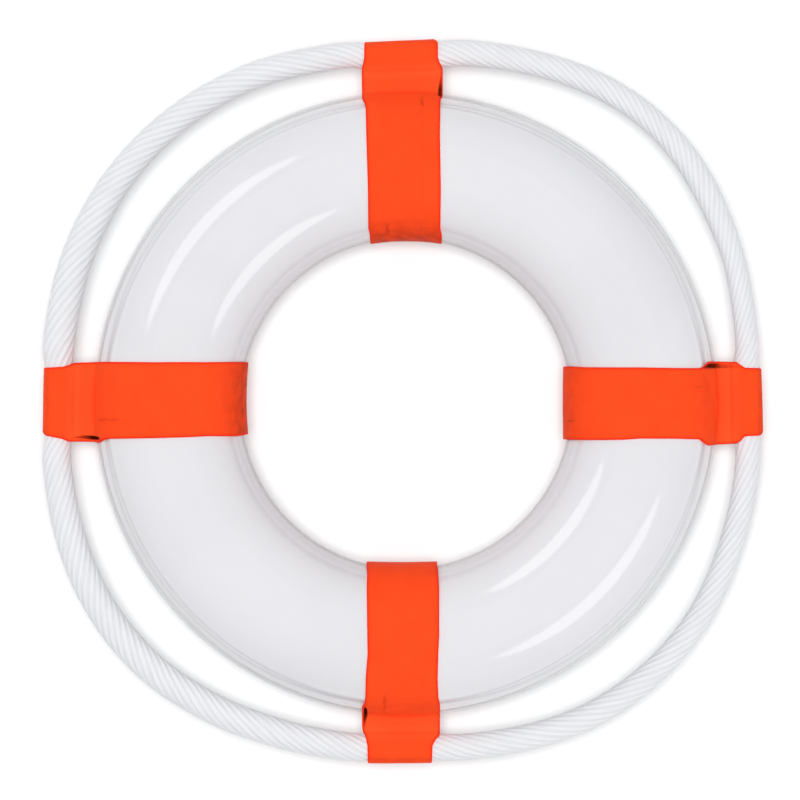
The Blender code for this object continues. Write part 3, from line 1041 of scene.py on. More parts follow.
def half_shell_profile(front, settings):
    """One half's wall with its half of the lapped seam, rounded where the two halves meet."""
    lip = (settings.wall - SEAM_GAP) / 2
    edge = SEAM_GAP / 2
    up = 1 if front else -1
    if front:
        step_depth, step_end = -lip, edge + SEAM_LAP
    else:
        step_depth, step_end = -lip - SEAM_GAP, edge - SEAM_LAP
    outer = half_section(0.0, edge + SEAM_ROUND, settings.steps)
    inner = half_section(-settings.wall, max(step_end, 0.0), settings.steps)
    if step_end < 0:
        foot = side_offset(-settings.wall, step_end)
        inner = [(foot, step_end)] + inner + [(-foot, step_end)]
    rounding = []
    for turn in quarter_turn(SEAM_ROUND_STEPS):
        drop = SEAM_ROUND * (1 - math.sin(turn))
        height = edge + SEAM_ROUND * (1 - math.cos(turn))
        rounding.append((side_offset(0.0, height) - drop, height))
    seam = [
        (side_offset(step_depth, step_end), step_end),
        (side_offset(step_depth, edge), edge),
        *rounding[:-1],
    ]
    other_side = [(-x, z) for x, z in reversed(seam)]
    # On the outside the halves meet in a small moulded bead
    bead = []
    for turn in quarter_turn(BEAD_STEPS):
        height = edge + BEAD_RADIUS * math.sin(turn)
        bead.append((side_offset(0.0, height) + BEAD_RADIUS * math.cos(turn), height))
    beaded = seam[:2] + [(bead[0][0] - BEAD_FOOT, edge)] + bead
    shoulder = grooved_shoulder(edge + BEAD_RADIUS + BEAD_CLEARANCE, settings.steps)
    far_side = [point for point in outer if point[0] < 0]
    outline = beaded + shoulder + far_side + other_side + list(reversed(inner))
    return [(TUBE_CENTRE + x, MIDDLE_HEIGHT + up * z) for x, z in outline]


def cut_hole(piece, place, radius, low, high):
    """Cuts a round upright hole and removes its cutter."""
    shape = bmesh.new()
    bmesh.ops.create_cone(
        shape,
        cap_ends=True,
        segments=HOLE_SEGMENTS,
        radius1=radius,
        radius2=radius,
        depth=high - low,
    )
    cutter = linked("hole", meshed("hole", shape))
    cutter.location = (place.x, place.y, (low + high) / 2)
    cut = piece.modifiers.new("hole", "BOOLEAN")
    cut.operation = "DIFFERENCE"
    cut.solver = "EXACT"
    cut.object = cutter
    bpy.context.view_layer.update()
    depsgraph = bpy.context.evaluated_depsgraph_get()
    made = bpy.data.meshes.new_from_object(piece.evaluated_get(depsgraph))
    piece.modifiers.clear()
    piece.data = made
    bpy.data.objects.remove(cutter)


class LIFERING_OT_float(bpy.types.Operator):
    """Builds both halves of the moulded shell and gives the filling its foam"""

    bl_idname = "lifering.float"
    bl_label = "Float"

    def execute(self, context):
        settings = context.scene.life_ring_shell
        finish = shell_finish(settings)
        for name, front in (("shell_front", True), ("shell_back", False)):
            profile = half_shell_profile(front, settings)
            mesh = turned_mesh(name + "_moulding", profile, settings.segments, SHELL_SHARP)
            half = add_piece(mesh.name, mesh, finish, "ring")
            if not front:
                back = MIDDLE_HEIGHT - HALF_THICKNESS
                for plug, radius in PLUGS:
                    low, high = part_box(plug)
                    place = (low + high) / 2
                    cut_hole(half, place, radius, back - settings.wall, back + 2 * settings.wall)
            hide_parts(name)
        refinish("foam_core", foam_finish())
        return {"FINISHED"}


PLUG_SEGMENTS = 72
PLUG_SHARP = 40.0
BARB_REACH = 0.0006
BARB_HEIGHT = 0.0009
NOSE_WIDTH = 0.7
# Shares of the flange's height: its rounded edge and its dish
FLANGE_ROUNDING = 0.9
FLANGE_STEPS = 6
DISH_DEPTH = 0.35
# The dish's width as a share of the hole's, and its floor's as a share of its own
DISH_WIDTH = 0.72
DISH_FLOOR = 0.8


def plug_mesh(name, low, high, hole_radius, wall):
    """A snap-in plug: rounded flange with a shallow dished middle, shank, barb and nose."""
    flange = (high.x - low.x) / 2
    wall_top = BACK_BOX[0].z + wall + SEAT_GAP
    seat = BACK_BOX[0].z - SEAT_GAP
    shank = hole_radius - SEAT_GAP
    barb = hole_radius + BARB_REACH
    edge = (seat - low.z) * FLANGE_ROUNDING
    dish = hole_radius * DISH_WIDTH
    dish_height = low.z + (seat - low.z) * DISH_DEPTH
    profile = [(0.0, dish_height), (dish * DISH_FLOOR, dish_height), (dish, low.z)]
    for turn in quarter_turn(FLANGE_STEPS):
        out = flange - edge + edge * math.sin(turn)
        profile.append((out, low.z + edge * (1 - math.cos(turn))))
    profile += [
        (flange, seat),
        (shank, seat),
        (shank, wall_top),
        (barb, wall_top),
        (barb, wall_top + BARB_HEIGHT),
        (shank * NOSE_WIDTH, high.z),
        (0.0, high.z),
    ]
    mesh = turned_mesh(name, profile, PLUG_SEGMENTS, PLUG_SHARP, closed=False)
    middle = (low + high) / 2
    mesh.transform(Matrix.Translation((middle.x, middle.y, 0.0)))
    return mesh


class LIFERING_OT_plugs(bpy.types.Operator):
    """Builds the two snap-in plugs in the back of the float"""

    bl_idname = "lifering.plugs"
    bl_label = "Plugs"

    def execute(self, context):
        finish = plug_finish()
        wall = context.scene.life_ring_shell.wall
        for name, radius in PLUGS:
            low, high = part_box(name)
            mesh = plug_mesh(name + "_moulding", low, high, radius, wall)
            plug = add_piece(mesh.name, mesh, finish, "ring")
            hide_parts(name)
        return {"FINISHED"}


# The wrapped bands

PINCH_GAP = 0.0010
WELD_LENGTH = 0.0180
WELD_RAMP = 0.0035
WELD_END = 0.0006
BAND_COLUMNS = 56
BAND_BACK_COLUMNS = 12
BAND_CROWDING = 0.65
BAND_EDGE_STEPS = 4
BAND_HALF_WIDTH = 0.026
EDGE_COLOUR_WIDTH = 0.0014
# The band lies straight across again this share of the rope's radius before the rope's centre
STRAIGHT_AGAIN = 0.6
# Steps in each part of the band's way round
FRONT_STEPS = 12
SHOULDER_STEPS = 30
PINCH_STEPS = 16
EYE_STEPS = 24
LAP_STEPS = 24
BORE_STEPS = 48
HALVINGS = 60
# What sets the ripples of a band's back, its pinch and its bore apart from those of its front
BACK_SEED = 7.0
PINCH_SEED = 3.0
BORE_SEED = 5.0


def rope_distance(strap):
    """From the axis to the rope's centre in a strap's eye."""
    return REACH[strap] - STRAP_THICKNESS - SEAT_GAP - ROPE_RADIUS


def pinch_arc(shoulder_radius, eye_radius, reach):
    """Centre and radius of the round that draws the band in between the ring and the eye."""
    lowest = (STRAP_THICKNESS + PINCH_GAP) / 2
    span = reach - TUBE_CENTRE - LAND

    def sides(radius):
        height = radius + lowest
        to_shoulder = (shoulder_radius + radius) ** 2 - height**2
        to_eye = (eye_radius + radius) ** 2 - height**2
        return math.sqrt(to_shoulder), math.sqrt(to_eye)

    low, high = 0.0, span
    for _ in range(HALVINGS):
        middle = (low + high) / 2
        if sum(sides(middle)) < span:
            low = middle
        else:
            high = middle
    return (TUBE_CENTRE + LAND + sides(low)[0], low + lowest), low


def arc_stations(centre, radius, start, end, steps, facing, layer):
    """Stations along an arc of the band, without the last: point, outward normal and layer."""
    stations = []
    for i in range(steps):
        angle = start + (end - start) * i / steps
        x, z = polar(radius, angle, centre)
        nx, nz = (x - centre[0]) / radius * facing, (z - centre[1]) / radius * facing
        stations.append((x, z, nx, nz, layer))
    return stations


def line_stations(start, end, normal, steps, layer):
    """Stations along a straight run of the band, without the last."""
    stations = []
    for i in range(steps):
        share = i / steps
        x, z = mix(start[0], end[0], share), mix(start[1], end[1], share)
        stations.append((x, z, *normal, layer))
    return stations


def band_stations(strap):
    """The band's middle line once round: over the front, round the rope and back by the bore."""
    reach = rope_distance(strap)
    off_ring = SEAT_GAP + STRAP_THICKNESS / 2
    shoulder_radius = HALF_THICKNESS + off_ring
    eye_radius = ROPE_RADIUS + off_ring
    shoulder = (TUBE_CENTRE + LAND, 0.0)
    eye = (reach, 0.0)
    pinch, pinch_radius = pinch_arc(shoulder_radius, eye_radius, reach)
    leave = math.degrees(math.atan2(pinch[1], pinch[0] - shoulder[0]))
    meet = math.degrees(math.atan2(pinch[1], pinch[0] - eye[0]))
    half_width = max(BAND_EDGES[strap][0][1:])
    # The band is straight across where it runs through the bore, so its edges touch first
    inner = math.sqrt((TUBE_CENTRE - LAND) ** 2 - half_width**2)
    bore = math.sqrt(BORE_RADIUS**2 - half_width**2)
    depth = inner - bore
    under_pinch = (pinch[0], -pinch[1])
    front_start, front_end = (inner, shoulder_radius), (shoulder[0], shoulder_radius)
    lap_start, lap_end = (shoulder[0], -shoulder_radius), (inner, -shoulder_radius)
    stations = line_stations(front_start, front_end, (0.0, 1.0), FRONT_STEPS, "front")
    arcs = [
        (shoulder, shoulder_radius, 90.0, leave, SHOULDER_STEPS, 1.0, "front"),
        (pinch, pinch_radius, leave - 180.0, meet - 180.0, PINCH_STEPS, -1.0, "front"),
        (eye, eye_radius, meet, 0.0, EYE_STEPS, 1.0, "front"),
        (eye, eye_radius, 0.0, -meet, EYE_STEPS, 1.0, "back"),
        (under_pinch, pinch_radius, 180.0 - meet, 180.0 - leave, PINCH_STEPS, -1.0, "back"),
        (shoulder, shoulder_radius, -leave, -90.0, SHOULDER_STEPS, 1.0, "back"),
    ]
    for arc in arcs:
        stations += arc_stations(*arc)
    stations += line_stations(lap_start, lap_end, (0.0, -1.0), LAP_STEPS, "lap")
    for i in range(BORE_STEPS):
        angle = 270.0 - 180.0 * i / BORE_STEPS
        nx, nz = polar(1.0, angle)
        x = inner + nx * depth + nx * off_ring
        stations.append((x, nz * shoulder_radius, nx, nz, "bore"))
    return stations


def band_edges(strap, on_ccw, on_cw):
    """The band's two half widths, at the distances from the axis that its two edges reach."""
    distances, *sides = zip(*BAND_EDGES[strap])
    end = rope_distance(strap) + ROPE_RADIUS + SEAT_GAP + STRAP_THICKNESS
    widths = []
    for distance, side, corner in zip((on_ccw, on_cw), sides, CORNERS[strap]):
        width = float(np.interp(distance, distances, side))
        past = min(corner, max(0.0, distance - (end - corner)))
        widths.append(width - corner + math.sqrt(corner**2 - past**2))
    return widths


def opening_at(strap, x, y):
    """How deep in the band's opening a point of the front lies, and how dark the painted shade is.
    """
    side, stretch = OPENINGS[strap]
    distances, starts, ends, darks = zip(*stretch)
    if not distances[0] < x < distances[-1]:
        return 0.0, 0.0
    start, end, dark = (float(np.interp(x, distances, row)) for row in (starts, ends, darks))
    inside = smoothstep(start - OPENING_BLUR, start + OPENING_LIP_BLUR, side * y)
    inside *= smoothstep(end + OPENING_BLUR, end - OPENING_BLUR, side * y)
    return inside, dark


def shade_at(strap, x, y):
    """Painted shade on the front where it dips over the ring's edge and turns down round the rope.
    """
    line, slant, share = SHADED[strap]
    within = line + slant * y - x
    shade = share * smoothstep(*SHADE_EDGE, within) * smoothstep(*SHADE_FADE, within)
    place, depth = TURN_LINES[strap]
    return max(shade, depth * dent(x - place, TURN_LINE_WIDTH))


def lap_rise(x):
    """How much further out the band's outer face stands on its welded lap."""
    start = TUBE_CENTRE + WELD_LENGTH / 2
    end = TUBE_CENTRE - WELD_LENGTH / 2
    ramp = smoothstep(start + WELD_RAMP, start, x) if x > end else 0.0
    step = smoothstep(end - WELD_END, end, x)
    return STRAP_THICKNESS * ramp * step


def pleat_at(strap, x, y):
    """How deep the band's pleats are at a point of its front, from 0 to 1."""
    depth = 0.0
    for across, start, end, share in PLEATS[strap]:
        fade = min(PLEAT_FADE, (end - start) / 3)
        window = smoothstep(start, start + fade, x) * smoothstep(end, end - fade, x)
        waver = PLEAT_WAVER * math.sin(x * PLEAT_WAVES)
        depth += share * window * dent(y - across - waver, PLEAT_WIDTH)
    return min(1.0, depth)


def ripples(x, y, closeness, seed):
    """Smooth noise on a band, from -1 to 1. Its closeness is along the band and across it."""
    along, across = closeness
    return noise.noise(Vector((x * along, y * across, seed)))


def bend_shade_at(strap, x, y):
    """Painted shade where the front bends into the bore, from 0 to 1, in short streaks."""
    bend = 0.0
    for share, start, full in BEND_SHADE_STEPS:
        bend += share * smoothstep(start, full, x - BORE_RADIUS)
    if bend <= 0:
        return 0.0
    streaks = ripples(x, y, BEND_SHADE_STREAKS, STRAP_ANGLES[strap])
    return min(1.0, BORE_BEND_SHADE[strap] * bend * (1.0 + BEND_SHADE_UNEVEN * streaks))


def painted_light_at(strap, x):
    """Painted light in the cloth's dip between the ring and the eye, from 0 to 1."""
    eye_foot = rope_distance(strap) - ROPE_RADIUS
    at_eye, eye_width = PAINTED_LIGHT_AT_EYE
    at_ring, ring_width = PAINTED_LIGHT_AT_RING
    lightened = at_eye * dent(x - eye_foot, eye_width) + at_ring * dent(x - RING_FOOT, ring_width)
    between = smoothstep(RING_FOOT - PAINTED_LIGHT_PAST_RING, RING_FOOT, x)
    between *= smoothstep(eye_foot + PAINTED_LIGHT_PAST_EYE, eye_foot, x)
    return min(1.0, lightened + PAINTED_LIGHT_BETWEEN * between)


def band_relief(strap, x, y, nz, layer):
    """How far the band's outer face is moved along its normal: slack, ripples and pleats."""
    seed = STRAP_ANGLES[strap]
    near_pinch = dent(x - RING_OUTER_RADIUS + PINCH_RIPPLE_INSET, PINCH_RIPPLE_WIDTH)
    at_bore = dent(x - BORE_RADIUS - BORE_RIPPLE_INSET, BORE_RIPPLE_WIDTH)
    slack_seed = seed if layer == "front" else seed + BACK_SEED
    relief = SLACK_HEIGHT * ripples(x, y, SLACK, slack_seed)
    relief += PINCH_RIPPLE_HEIGHT * near_pinch * ripples(x, y, PINCH_RIPPLES, seed + PINCH_SEED)
    relief += BORE_RIPPLE_HEIGHT * at_bore * ripples(x, y, BORE_RIPPLES, seed + BORE_SEED)
    if layer in ("front", "bore") and nz > 0:
        relief -= PLEAT_DEPTH * pleat_at(strap, x, y)
    return relief


def band_section(strap, station):
    """A closed row round the band's thickness, with painted shade, edge and painted light."""
    x, z, nx, nz, layer = station
    half = STRAP_THICKNESS / 2
    rise = lap_rise(x) if layer == "lap" else 0.0
    rope = rope_distance(strap)
    # Where the band lies on the ring's outer shoulder it follows the ring's curve
    hug = smoothstep(TUBE_CENTRE - LAND, TUBE_CENTRE + LAND, x)
    hug *= smoothstep(rope - ROPE_RADIUS * STRAIGHT_AGAIN, RING_OUTER_RADIUS, x)
    tilt = LEAN[strap] * smoothstep(RING_OUTER_RADIUS, rope, x)

    def shifted(y):
        return x - (x - math.sqrt(x * x - y * y)) * hug + tilt * y

    to_ccw, to_cw = band_edges(strap, shifted(BAND_HALF_WIDTH), shifted(-BAND_HALF_WIDTH))
    front = layer in ("front", "bore") and nz > 0
    row = []

    def place(y, offset, dark, edge, painted_light=0.0):
        run = 0.0
        if layer == "bore":
            edge_run, middle_run = BORE_RUN[strap]
            side = to_ccw if y > 0 else to_cw
            run = mix(middle_run, edge_run, (y / side) ** 2) * abs(nx)
        row.append(((shifted(y) + nx * offset + run, y, z + nz * offset), dark, edge, painted_light))

    def round_edge(corner, start):
        """The cut edge, from one face to the other."""
        middle = rise / 2
        reach = half + middle
        for j in range(1, BAND_EDGE_STEPS):
            turn = math.radians(start + 180.0 * j / BAND_EDGE_STEPS)
            place(corner + half * math.sin(turn), middle + reach * math.cos(turn), 0.0, 1.0)

    painted_light = painted_light_at(strap, x)
    for j in range(BAND_COLUMNS + 1):
        # The columns stand closer together towards the edges
        share = j / BAND_COLUMNS
        share -= BAND_CROWDING * math.sin(math.tau * share) / math.tau
        y = mix(-to_cw + half, to_ccw - half, share)
        dark = depth = 0.0
        if front:
            # Painted shade in the pleats, the bend into the bore, the dips, the turn round the rope
            # and the opening
            marks = (pleat_at(strap, x, y), bend_shade_at(strap, x, y), shade_at(strap, shifted(y), y))
            inside, blackness = opening_at(strap, shifted(y), y)
            dark = max(*marks, inside * blackness)
            depth = OPENING_DEPTH * inside
        edge = dent(min(y + to_cw, to_ccw - y), EDGE_COLOUR_WIDTH) * (1 - dark)
        relief = band_relief(strap, x, y, nz, layer)
        place(y, half + rise + relief - depth, dark, edge, painted_light)
    round_edge(to_ccw - half, 0.0)
    for j in range(BAND_BACK_COLUMNS + 1):
        y = mix(to_ccw - half, -to_cw + half, j / BAND_BACK_COLUMNS)
        place(y, -half, 0.0, 0.0)
    round_edge(-to_cw + half, 180.0)
    return row


def band_mesh(strap):
    """One band, turned to its place on the ring."""
    stations = band_stations(strap)
    sections = [band_section(strap, station) for station in stations]
    angle = math.radians(STRAP_ANGLES[strap])
    cos, sin = math.cos(angle), math.sin(angle)
    rows = []
    for section in sections:
        places = [point[0] for point in section]
        turned = [(x * cos - y * sin, x * sin + y * cos, z + MIDDLE_HEIGHT) for x, y, z in places]
        rows.append(turned)
    travelled = [0.0]
    for here, after in zip(stations, stations[1:] + stations[:1]):
        travelled.append(travelled[-1] + math.dist(here[:2], after[:2]))
    across = [point[0][1] for point in sections[0]]
    across.append(across[0])
    name = "band_" + strap
    mesh = grid_mesh(name, rows, True, lambda i, j: (across[j], travelled[i]))
    for number, label in enumerate(("dark", "edge", "painted_light"), 1):
        layer = mesh.attributes.new(label, "FLOAT", "POINT")
        values = [point[number] for section in sections for point in section]
        layer.data.foreach_set("value", np.array(values, np.float32))
    mesh.flip_normals()
    return mesh


class LIFERING_OT_bands(bpy.types.Operator):
    """Builds the four bands that are wrapped round the ring and the rope"""

    bl_idname = "lifering.bands"
    bl_label = "Bands"

    def execute(self, context):
        finish = band_finish(context.scene.life_ring_band)
        for strap in STRAPS:
            mesh = band_mesh(strap)
            band = add_piece(mesh.name, mesh, finish, "ring")
            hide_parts("strap_" + strap)
        return {"FINISHED"}


# The grab line

ROPE_AROUND = 108
NECK_RADIUS = 0.0082
NECK_LENGTH = 0.0122
NECK_TAPER = 0.0006
# The rope's two ends meet in this strap's eye
JOINED_AT = "bottom"
LINE_STEPS = 240
HELD_STEPS = 20
SMOOTHING_ROUNDS = 60
LEAST_STEPS = 8
FREE_FROM = 0.022
FREE_FULL = 0.038


def joint_of(bight):
    found = [joint for joint in frame["joints"] if joint["child"] == "bight_" + bight]
    if not found:
        raise RuntimeError(f"the packed model has no joint for bight {bight}")
    return found[0]


def strap_frame(strap):
    """The directions out along a strap and to its counterclockwise side."""
    angle = math.radians(STRAP_ANGLES[strap])
    out = Vector((math.cos(angle), math.sin(angle), 0.0))
    return out, Vector((-out.y, out.x, 0.0))


def hinge_point(bight, strap):
    """Where a bight's hinge line passes the rope beside a strap."""
    joint = joint_of(bight)
    place, axis = Vector(joint["pos_m"]), Vector(joint["axis"])
    out, _ = strap_frame(strap)
    along = (rope_distance(strap) - place.dot(out)) / axis.dot(out)
    return place + axis * along


def leaning(strap, point):
    """How far the rope near a strap stands out of line, because the eye holds it askew."""
    out, beside = strap_frame(strap)
    side = point.dot(beside)
    if point.dot(out) < 0:
        return Vector((0.0, 0.0, 0.0))
    held = smoothstep(LEAN_GONE, LEAN_HELD, abs(side))
    return out * (LEAN[strap] * side * held)


def rope_line(bight):
    """The rope's middle line from the middle of one strap to the middle of the next."""
    first, second, bulge, lean = BIGHTS[bight]
    start, end = hinge_point(bight, first), hinge_point(bight, second)
    start_angle = math.atan2(start.y, start.x)
    turn = (math.atan2(end.y, end.x) - start_angle) % math.tau
    start_radius, end_radius = start.xy.length, end.xy.length
    swell = RING_OUTER_RADIUS + bulge - (start_radius + end_radius) / 2
    middle = []
    for i in range(LINE_STEPS + 1):
        share = i / LINE_STEPS
        arch = max(0.0, math.sin(math.pi * share)) ** BIGHT_FULLNESS
        radius = mix(start_radius, end_radius, share)
        radius += swell * arch + lean * math.sin(math.tau * share)
        x, y = polar(radius, math.degrees(start_angle + turn * share))
        middle.append(Vector((x, y, MIDDLE_HEIGHT)))
    from_strap = strap_frame(first)[0] * rope_distance(first)
    to_strap = strap_frame(second)[0] * rope_distance(second)
    from_strap.z = to_strap.z = MIDDLE_HEIGHT
    line = [from_strap.lerp(start, i / HELD_STEPS) for i in range(HELD_STEPS)]
    line += middle
    line += [end.lerp(to_strap, i / HELD_STEPS) for i in range(1, HELD_STEPS + 1)]
    line = [point + leaning(first, point) + leaning(second, point) for point in line]
    angles, shifts, _ = zip(*ROPE_HANG)
    for point in line:
        turn = math.degrees(math.atan2(point.y, point.x))
        shift = float(np.interp(turn, angles, shifts, period=360))
        point.xy += point.xy.normalized() * shift * free_share(point)
    return line


def free_share(point):
    """0 where the rope is held in an eye, growing to 1 where it is clear of it."""
    beside = min(abs(point[0]), abs(point[1]))
    return smoothstep(FREE_FROM, FREE_FULL, beside)


def evened(line, step):
    """The line smoothed and cut into equal steps, its two ends kept."""
    points = np.array([tuple(point) for point in line])
    for _ in range(SMOOTHING_ROUNDS):
        points[1:-1] = (points[:-2] + 2 * points[1:-1] + points[2:]) / 4
    lengths = np.linalg.norm(np.diff(points, axis=0), axis=1)
    travelled = np.concatenate([[0.0], np.cumsum(lengths)])
    count = max(LEAST_STEPS, round(travelled[-1] / step))
    places = np.linspace(0.0, travelled[-1], count + 1)
    even = np.stack([np.interp(places, travelled, points[:, k]) for k in range(3)], axis=1)
    return even, places


def rope_radius(joined_start, joined_end, place, length, centre):
    """The rope's radius along it. It is necked where its end goes into the sleeve."""
    angles, _, shares = zip(*ROPE_HANG)
    turn = math.degrees(math.atan2(centre[1], centre[0]))
    fullness = float(np.interp(turn, angles, shares, period=360))
    radius = ROPE_RADIUS * mix(1.0, fullness, free_share(centre))
    for joined, away in ((joined_start, place), (joined_end, length - place)):
        if joined:
            clear = smoothstep(NECK_LENGTH - NECK_TAPER, NECK_LENGTH, away)
            radius = mix(NECK_RADIUS, radius, clear)
    return radius


def rope_mesh(bight, settings):
    """One stretch of laid rope, its strands as real ridges. Also gives its middle line."""
    first, second = BIGHTS[bight][:2]
    line, places = evened(rope_line(bight), settings.step)
    joined_start, joined_end = first == JOINED_AT, second == JOINED_AT
    length = places[-1]
    if joined_start:
        line, places = line[1:], places[1:]
    if joined_end:
        line, places = line[:-1], places[:-1]
    ways = np.gradient(line, axis=0)
    ways /= np.linalg.norm(ways, axis=1)[:, None]
    up = np.array([0.0, 0.0, 1.0])
    turns = np.arange(ROPE_AROUND) / ROPE_AROUND
    angles = turns * math.tau
    # The strands are round and meet in a soft groove. Each row of points follows a strand
    within = np.abs((settings.strands * turns % 1.0) * 2.0 - 1.0)
    ridge = 1.0 - settings.groove * within**2
    rows = []
    for centre, way, place in zip(line, ways, places):
        out = np.cross(way, up)
        laid = angles - math.tau * place / (settings.lay * LAY_SHARE[bight])
        radius = rope_radius(joined_start, joined_end, place, length, centre) * ridge
        offsets = np.outer(radius * np.cos(laid), out) + np.outer(radius * np.sin(laid), up)
        rows.append(centre + offsets)
    name = "rope_" + bight
    mesh = grid_mesh(name, rows, False, lambda i, j: (j / ROPE_AROUND, places[i]))
    mesh.flip_normals()
    return mesh, line


class LIFERING_OT_rope(bpy.types.Operator):
    """Builds the laid rope, from strap to strap, and finishes the sleeve that joins its ends"""

    bl_idname = "lifering.rope"
    bl_label = "Rope"

    def execute(self, context):
        settings = context.scene.life_ring_rope
        finish = rope_finish(settings)
        for bight in BIGHTS:
            mesh, line = rope_mesh(bight, settings)
            rope = add_piece(mesh.name, mesh, finish, None)
            joint = joint_of(bight)
            place, axis = Vector(joint["pos_m"]), Vector(joint["axis"])
            away = Vector((axis.y, -axis.x, 0.0)).normalized()
            if away.dot(place) < 0:
                away.negate()
            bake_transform(rope)
            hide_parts("rope_bight_" + bight, *HELD_WITH[bight])
        refinish("rope_sleeve", sleeve_finish())
        return {"FINISHED"}


# Floor, light and camera

# The middle of the picture is a few pixels off the ring's axis
PICTURE_PIXELS = 800
PICTURE_MIDDLE = (-5.9, 3.7)
SENSOR_MILLIMETRES = 36.0
CAMERA_SIGHT = 20.0
MIDDLE = Vector((0.0, 0.0, MIDDLE_HEIGHT))
FLOOR_HALF_WIDTH = 10.0
FLOOR_SQUARES = 8
SUN_TURN = 135.0
OVERHEAD_SPREAD = 17.0
OVERHEAD_TILT = 1.5
FLOOR_LIGHT_SPREAD = 19.0
FLOOR_LIGHT_TILT = 1.8
STRIP_TILT = 31.5
STRIP_DISTANCE = 6.0
STRIP_LENGTH = 2.75
STRIP_WIDTH = 2.5
STRIP_TURNS = (138.5, -45.0)
FLOOR_COLOUR = (0.50, 0.50, 0.50)
FLOOR_SHADE = 0.99
FLOOR_LIFTED = (0.465, 0.470, 0.475)
FLOOR_GLOW = 0.225
HORIZON_LIGHT = 3.0
LIT_WALLS = 1.5


def looked_at(nodes):
    """1 where something is seen straight, in gloss or through something clear."""
    rays = ("Is Camera Ray", "Is Glossy Ray", "Is Transmission Ray")
    camera, gloss, clear = (
        nodes.add("ShaderNodeLightPath", None, None, output=kind) for kind in rays
    )
    return nodes.most(camera, nodes.most(gloss, clear))


def floor_finish():
    """Matt white paper. What looks at it sees it lifted to white, with the shadows kept."""
    material = bpy.data.materials.new("paper_floor")
    material.use_nodes = True
    nodes = NodeSet(material.node_tree)
    output = material.node_tree.nodes["Material Output"]
    material.node_tree.nodes.remove(material.node_tree.nodes["Principled BSDF"])
    fibre = nodes.noise(nodes.coordinates("Object"), scale=900.0, detail=3.0)
    paper = nodes.coloured(fibre, darker(FLOOR_COLOUR, FLOOR_SHADE), FLOOR_COLOUR)
    plain = nodes.add("ShaderNodeBsdfDiffuse", None, {"Color": paper})
    bright = nodes.add("ShaderNodeBsdfDiffuse", None, {"Color": FLOOR_LIFTED})
    glow = nodes.add("ShaderNodeEmission", None, {"Strength": FLOOR_GLOW})
    lifted = nodes.add("ShaderNodeAddShader", None, {0: bright, 1: glow})
    seen = {0: looked_at(nodes), 1: plain, 2: lifted}
    nodes.plug(output.inputs["Surface"], nodes.add("ShaderNodeMixShader", None, seen))
    return material


def light_surround(strength):
    """A white room, brightest low down on the two walls that the strip lights stand by. It is
    plain white behind the object and in its gloss."""
    world = bpy.data.worlds.new("surround")
    bpy.context.scene.world = world
    world.use_nodes = True
    nodes = NodeSet(world.node_tree)
    world.node_tree.nodes.clear()
    x, y, height = nodes.axes(nodes.coordinates("Generated"))
    upwards = nodes.least(nodes.most(height, 0.0), 1.0)
    falling = strength * (HORIZON_LIGHT + (1.0 - HORIZON_LIGHT) * upwards)
    falling = falling * (1.0 - LIT_WALLS * x * y)
    seen = looked_at(nodes)
    shown = seen + (1.0 - seen) * falling
    background = nodes.add("ShaderNodeBackground", None, {"Strength": shown})
    nodes.add("ShaderNodeOutputWorld", None, {"Surface": background})


def direction(tilt, turn):
    """The way to something that stands that far off the upright, and that far round it."""
    sideways = math.sin(math.radians(tilt))
    return Vector((*polar(sideways, turn), math.cos(math.radians(tilt))))


def add_light(name, kind, place):
    """A light that shines on the ring's middle."""
    holder = linked(name, bpy.data.lights.new(name, kind))
    holder.location = place
    holder.rotation_euler = (MIDDLE - place).to_track_quat("-Z", "Y").to_euler()
    return holder


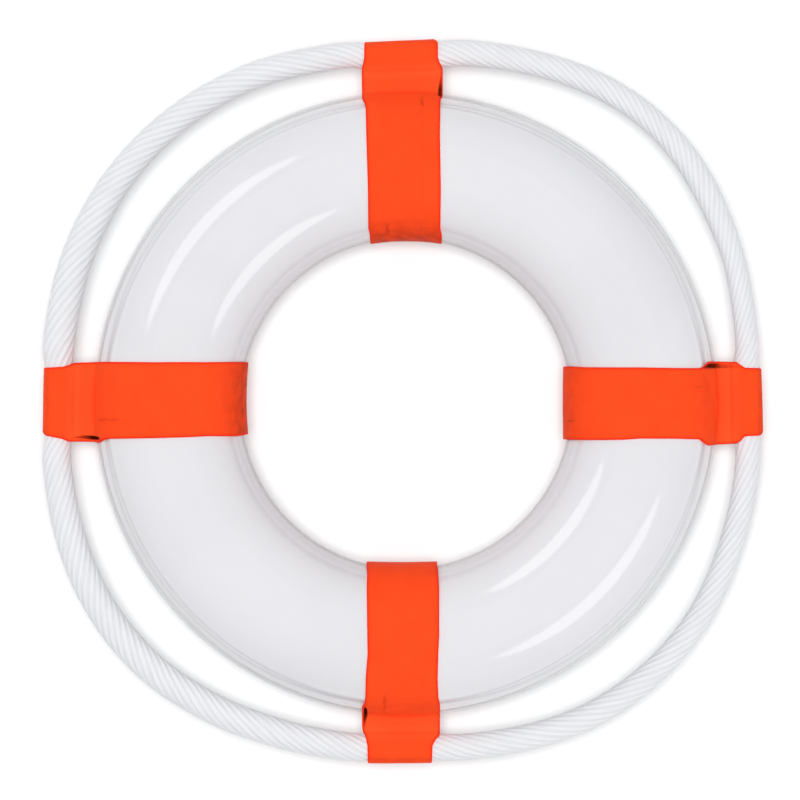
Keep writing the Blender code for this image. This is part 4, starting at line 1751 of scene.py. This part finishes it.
class LIFERING_OT_stage(bpy.types.Operator):
    """Lays the floor, hangs the lights and sets up the camera over the ring"""

    bl_idname = "lifering.stage"
    bl_label = "Stage"

    def execute(self, context):
        settings = context.scene.life_ring_stage
        floor = self.lay_floor()
        light_surround(settings.surround)
        height = settings.camera_height
        self.hang_sun("overhead", height, OVERHEAD_TILT, OVERHEAD_SPREAD, settings.overhead)
        self.light_floor(floor, height, settings.floor_light)
        for number, turn in enumerate(STRIP_TURNS, 1):
            self.hang_strip(f"strip_{number}", turn, settings.strips)
        self.set_camera(settings)
        context.scene.view_settings.view_transform = "Standard"
        return {"FINISHED"}

    def lay_floor(self):
        shape = bmesh.new()
        squares = {"x_segments": FLOOR_SQUARES, "y_segments": FLOOR_SQUARES}
        bmesh.ops.create_grid(shape, size=FLOOR_HALF_WIDTH, **squares)
        mesh = meshed("floor", shape)
        mesh.materials.append(floor_finish())
        floor = linked("floor", mesh)
        return floor

    def hang_sun(self, name, height, tilt, spread, strength):
        """A soft light from nearly straight above, which gloss doesn't show."""
        sun = add_light(name, "SUN", MIDDLE + height * direction(tilt, SUN_TURN))
        sun.data.energy = strength
        sun.data.angle = math.radians(spread)
        sun.visible_glossy = False
        return sun

    def light_floor(self, floor, height, strength):
        """Keeps the paper white round a crisp contact shadow. It lights nothing but the floor."""
        lamp = self.hang_sun("floor_light", height, FLOOR_LIGHT_TILT, FLOOR_LIGHT_SPREAD, strength)
        lit = bpy.data.collections.new("lit_floor")
        lit.objects.link(floor)
        lamp.light_linking.receiver_collection = lit

    def hang_strip(self, name, turn, brightness):
        place = MIDDLE + STRIP_DISTANCE * direction(STRIP_TILT, turn)
        strip = add_light(name, "AREA", place)
        strip.data.shape = "ELLIPSE"
        strip.data.size = STRIP_LENGTH
        strip.data.size_y = STRIP_WIDTH
        # A flat light gives off pi times its brightness from each square metre
        area = math.pi / 4 * STRIP_LENGTH * STRIP_WIDTH
        strip.data.energy = brightness * math.pi * area
        # The strip's long side lies across the direction out to it
        facing = (MIDDLE - place).normalized()
        across = Vector((*polar(1.0, turn + 90.0), 0.0))
        upright = across.cross(facing)
        turned = np.array([across, upright, -facing]).T
        strip.rotation_euler = Matrix(turned.tolist()).to_euler()

    def set_camera(self, settings):
        camera = linked("camera", bpy.data.cameras.new("camera"))
        pixel = settings.picture_width / PICTURE_PIXELS
        camera.location = (
            PICTURE_MIDDLE[0] * pixel,
            PICTURE_MIDDLE[1] * pixel,
            MIDDLE_HEIGHT + settings.camera_height,
        )
        camera.rotation_euler.z = settings.camera_roll
        camera.data.sensor_width = SENSOR_MILLIMETRES
        camera.data.lens = SENSOR_MILLIMETRES * settings.camera_height / settings.picture_width
        camera.data.clip_end = CAMERA_SIGHT
        bpy.context.scene.camera = camera


# The add-on's panel


OPERATORS = (
    LIFERING_OT_stage,
    LIFERING_OT_rope,
    LIFERING_OT_bands,
    LIFERING_OT_float,
    LIFERING_OT_plugs,
)


class LIFERING_PT_panel(bpy.types.Panel):
    """Lists the life ring's pieces and their settings"""

    bl_idname = "LIFERING_PT_panel"
    bl_label = "Life ring"
    bl_space_type = "VIEW_3D"
    bl_region_type = "UI"
    bl_category = "Life ring"

    def draw(self, context):
        layout = self.layout
        for operator in OPERATORS:
            layout.operator(operator.bl_idname)
        for holder in SETTINGS:
            box = layout.box()
            settings = getattr(context.scene, holder)
            for name in settings.__annotations__:
                box.prop(settings, name)


SETTINGS = {
    "life_ring_shell": ShellSettings,
    "life_ring_band": BandSettings,
    "life_ring_rope": RopeSettings,
    "life_ring_stage": StageSettings,
}
CLASSES = (*SETTINGS.values(), *OPERATORS, LIFERING_PT_panel)


def register():
    for made in CLASSES:
        bpy.utils.register_class(made)
    for holder, settings in SETTINGS.items():
        setattr(bpy.types.Scene, holder, PointerProperty(type=settings))


def unregister():
    for holder in SETTINGS:
        delattr(bpy.types.Scene, holder)
    for made in reversed(CLASSES):
        bpy.utils.unregister_class(made)


def main():
    register()
    bpy.ops.lifering.stage()
    bpy.ops.lifering.rope()
    bpy.ops.lifering.bands()
    bpy.ops.lifering.float()
    bpy.ops.lifering.plugs()


if __name__ == "__main__":
    main()
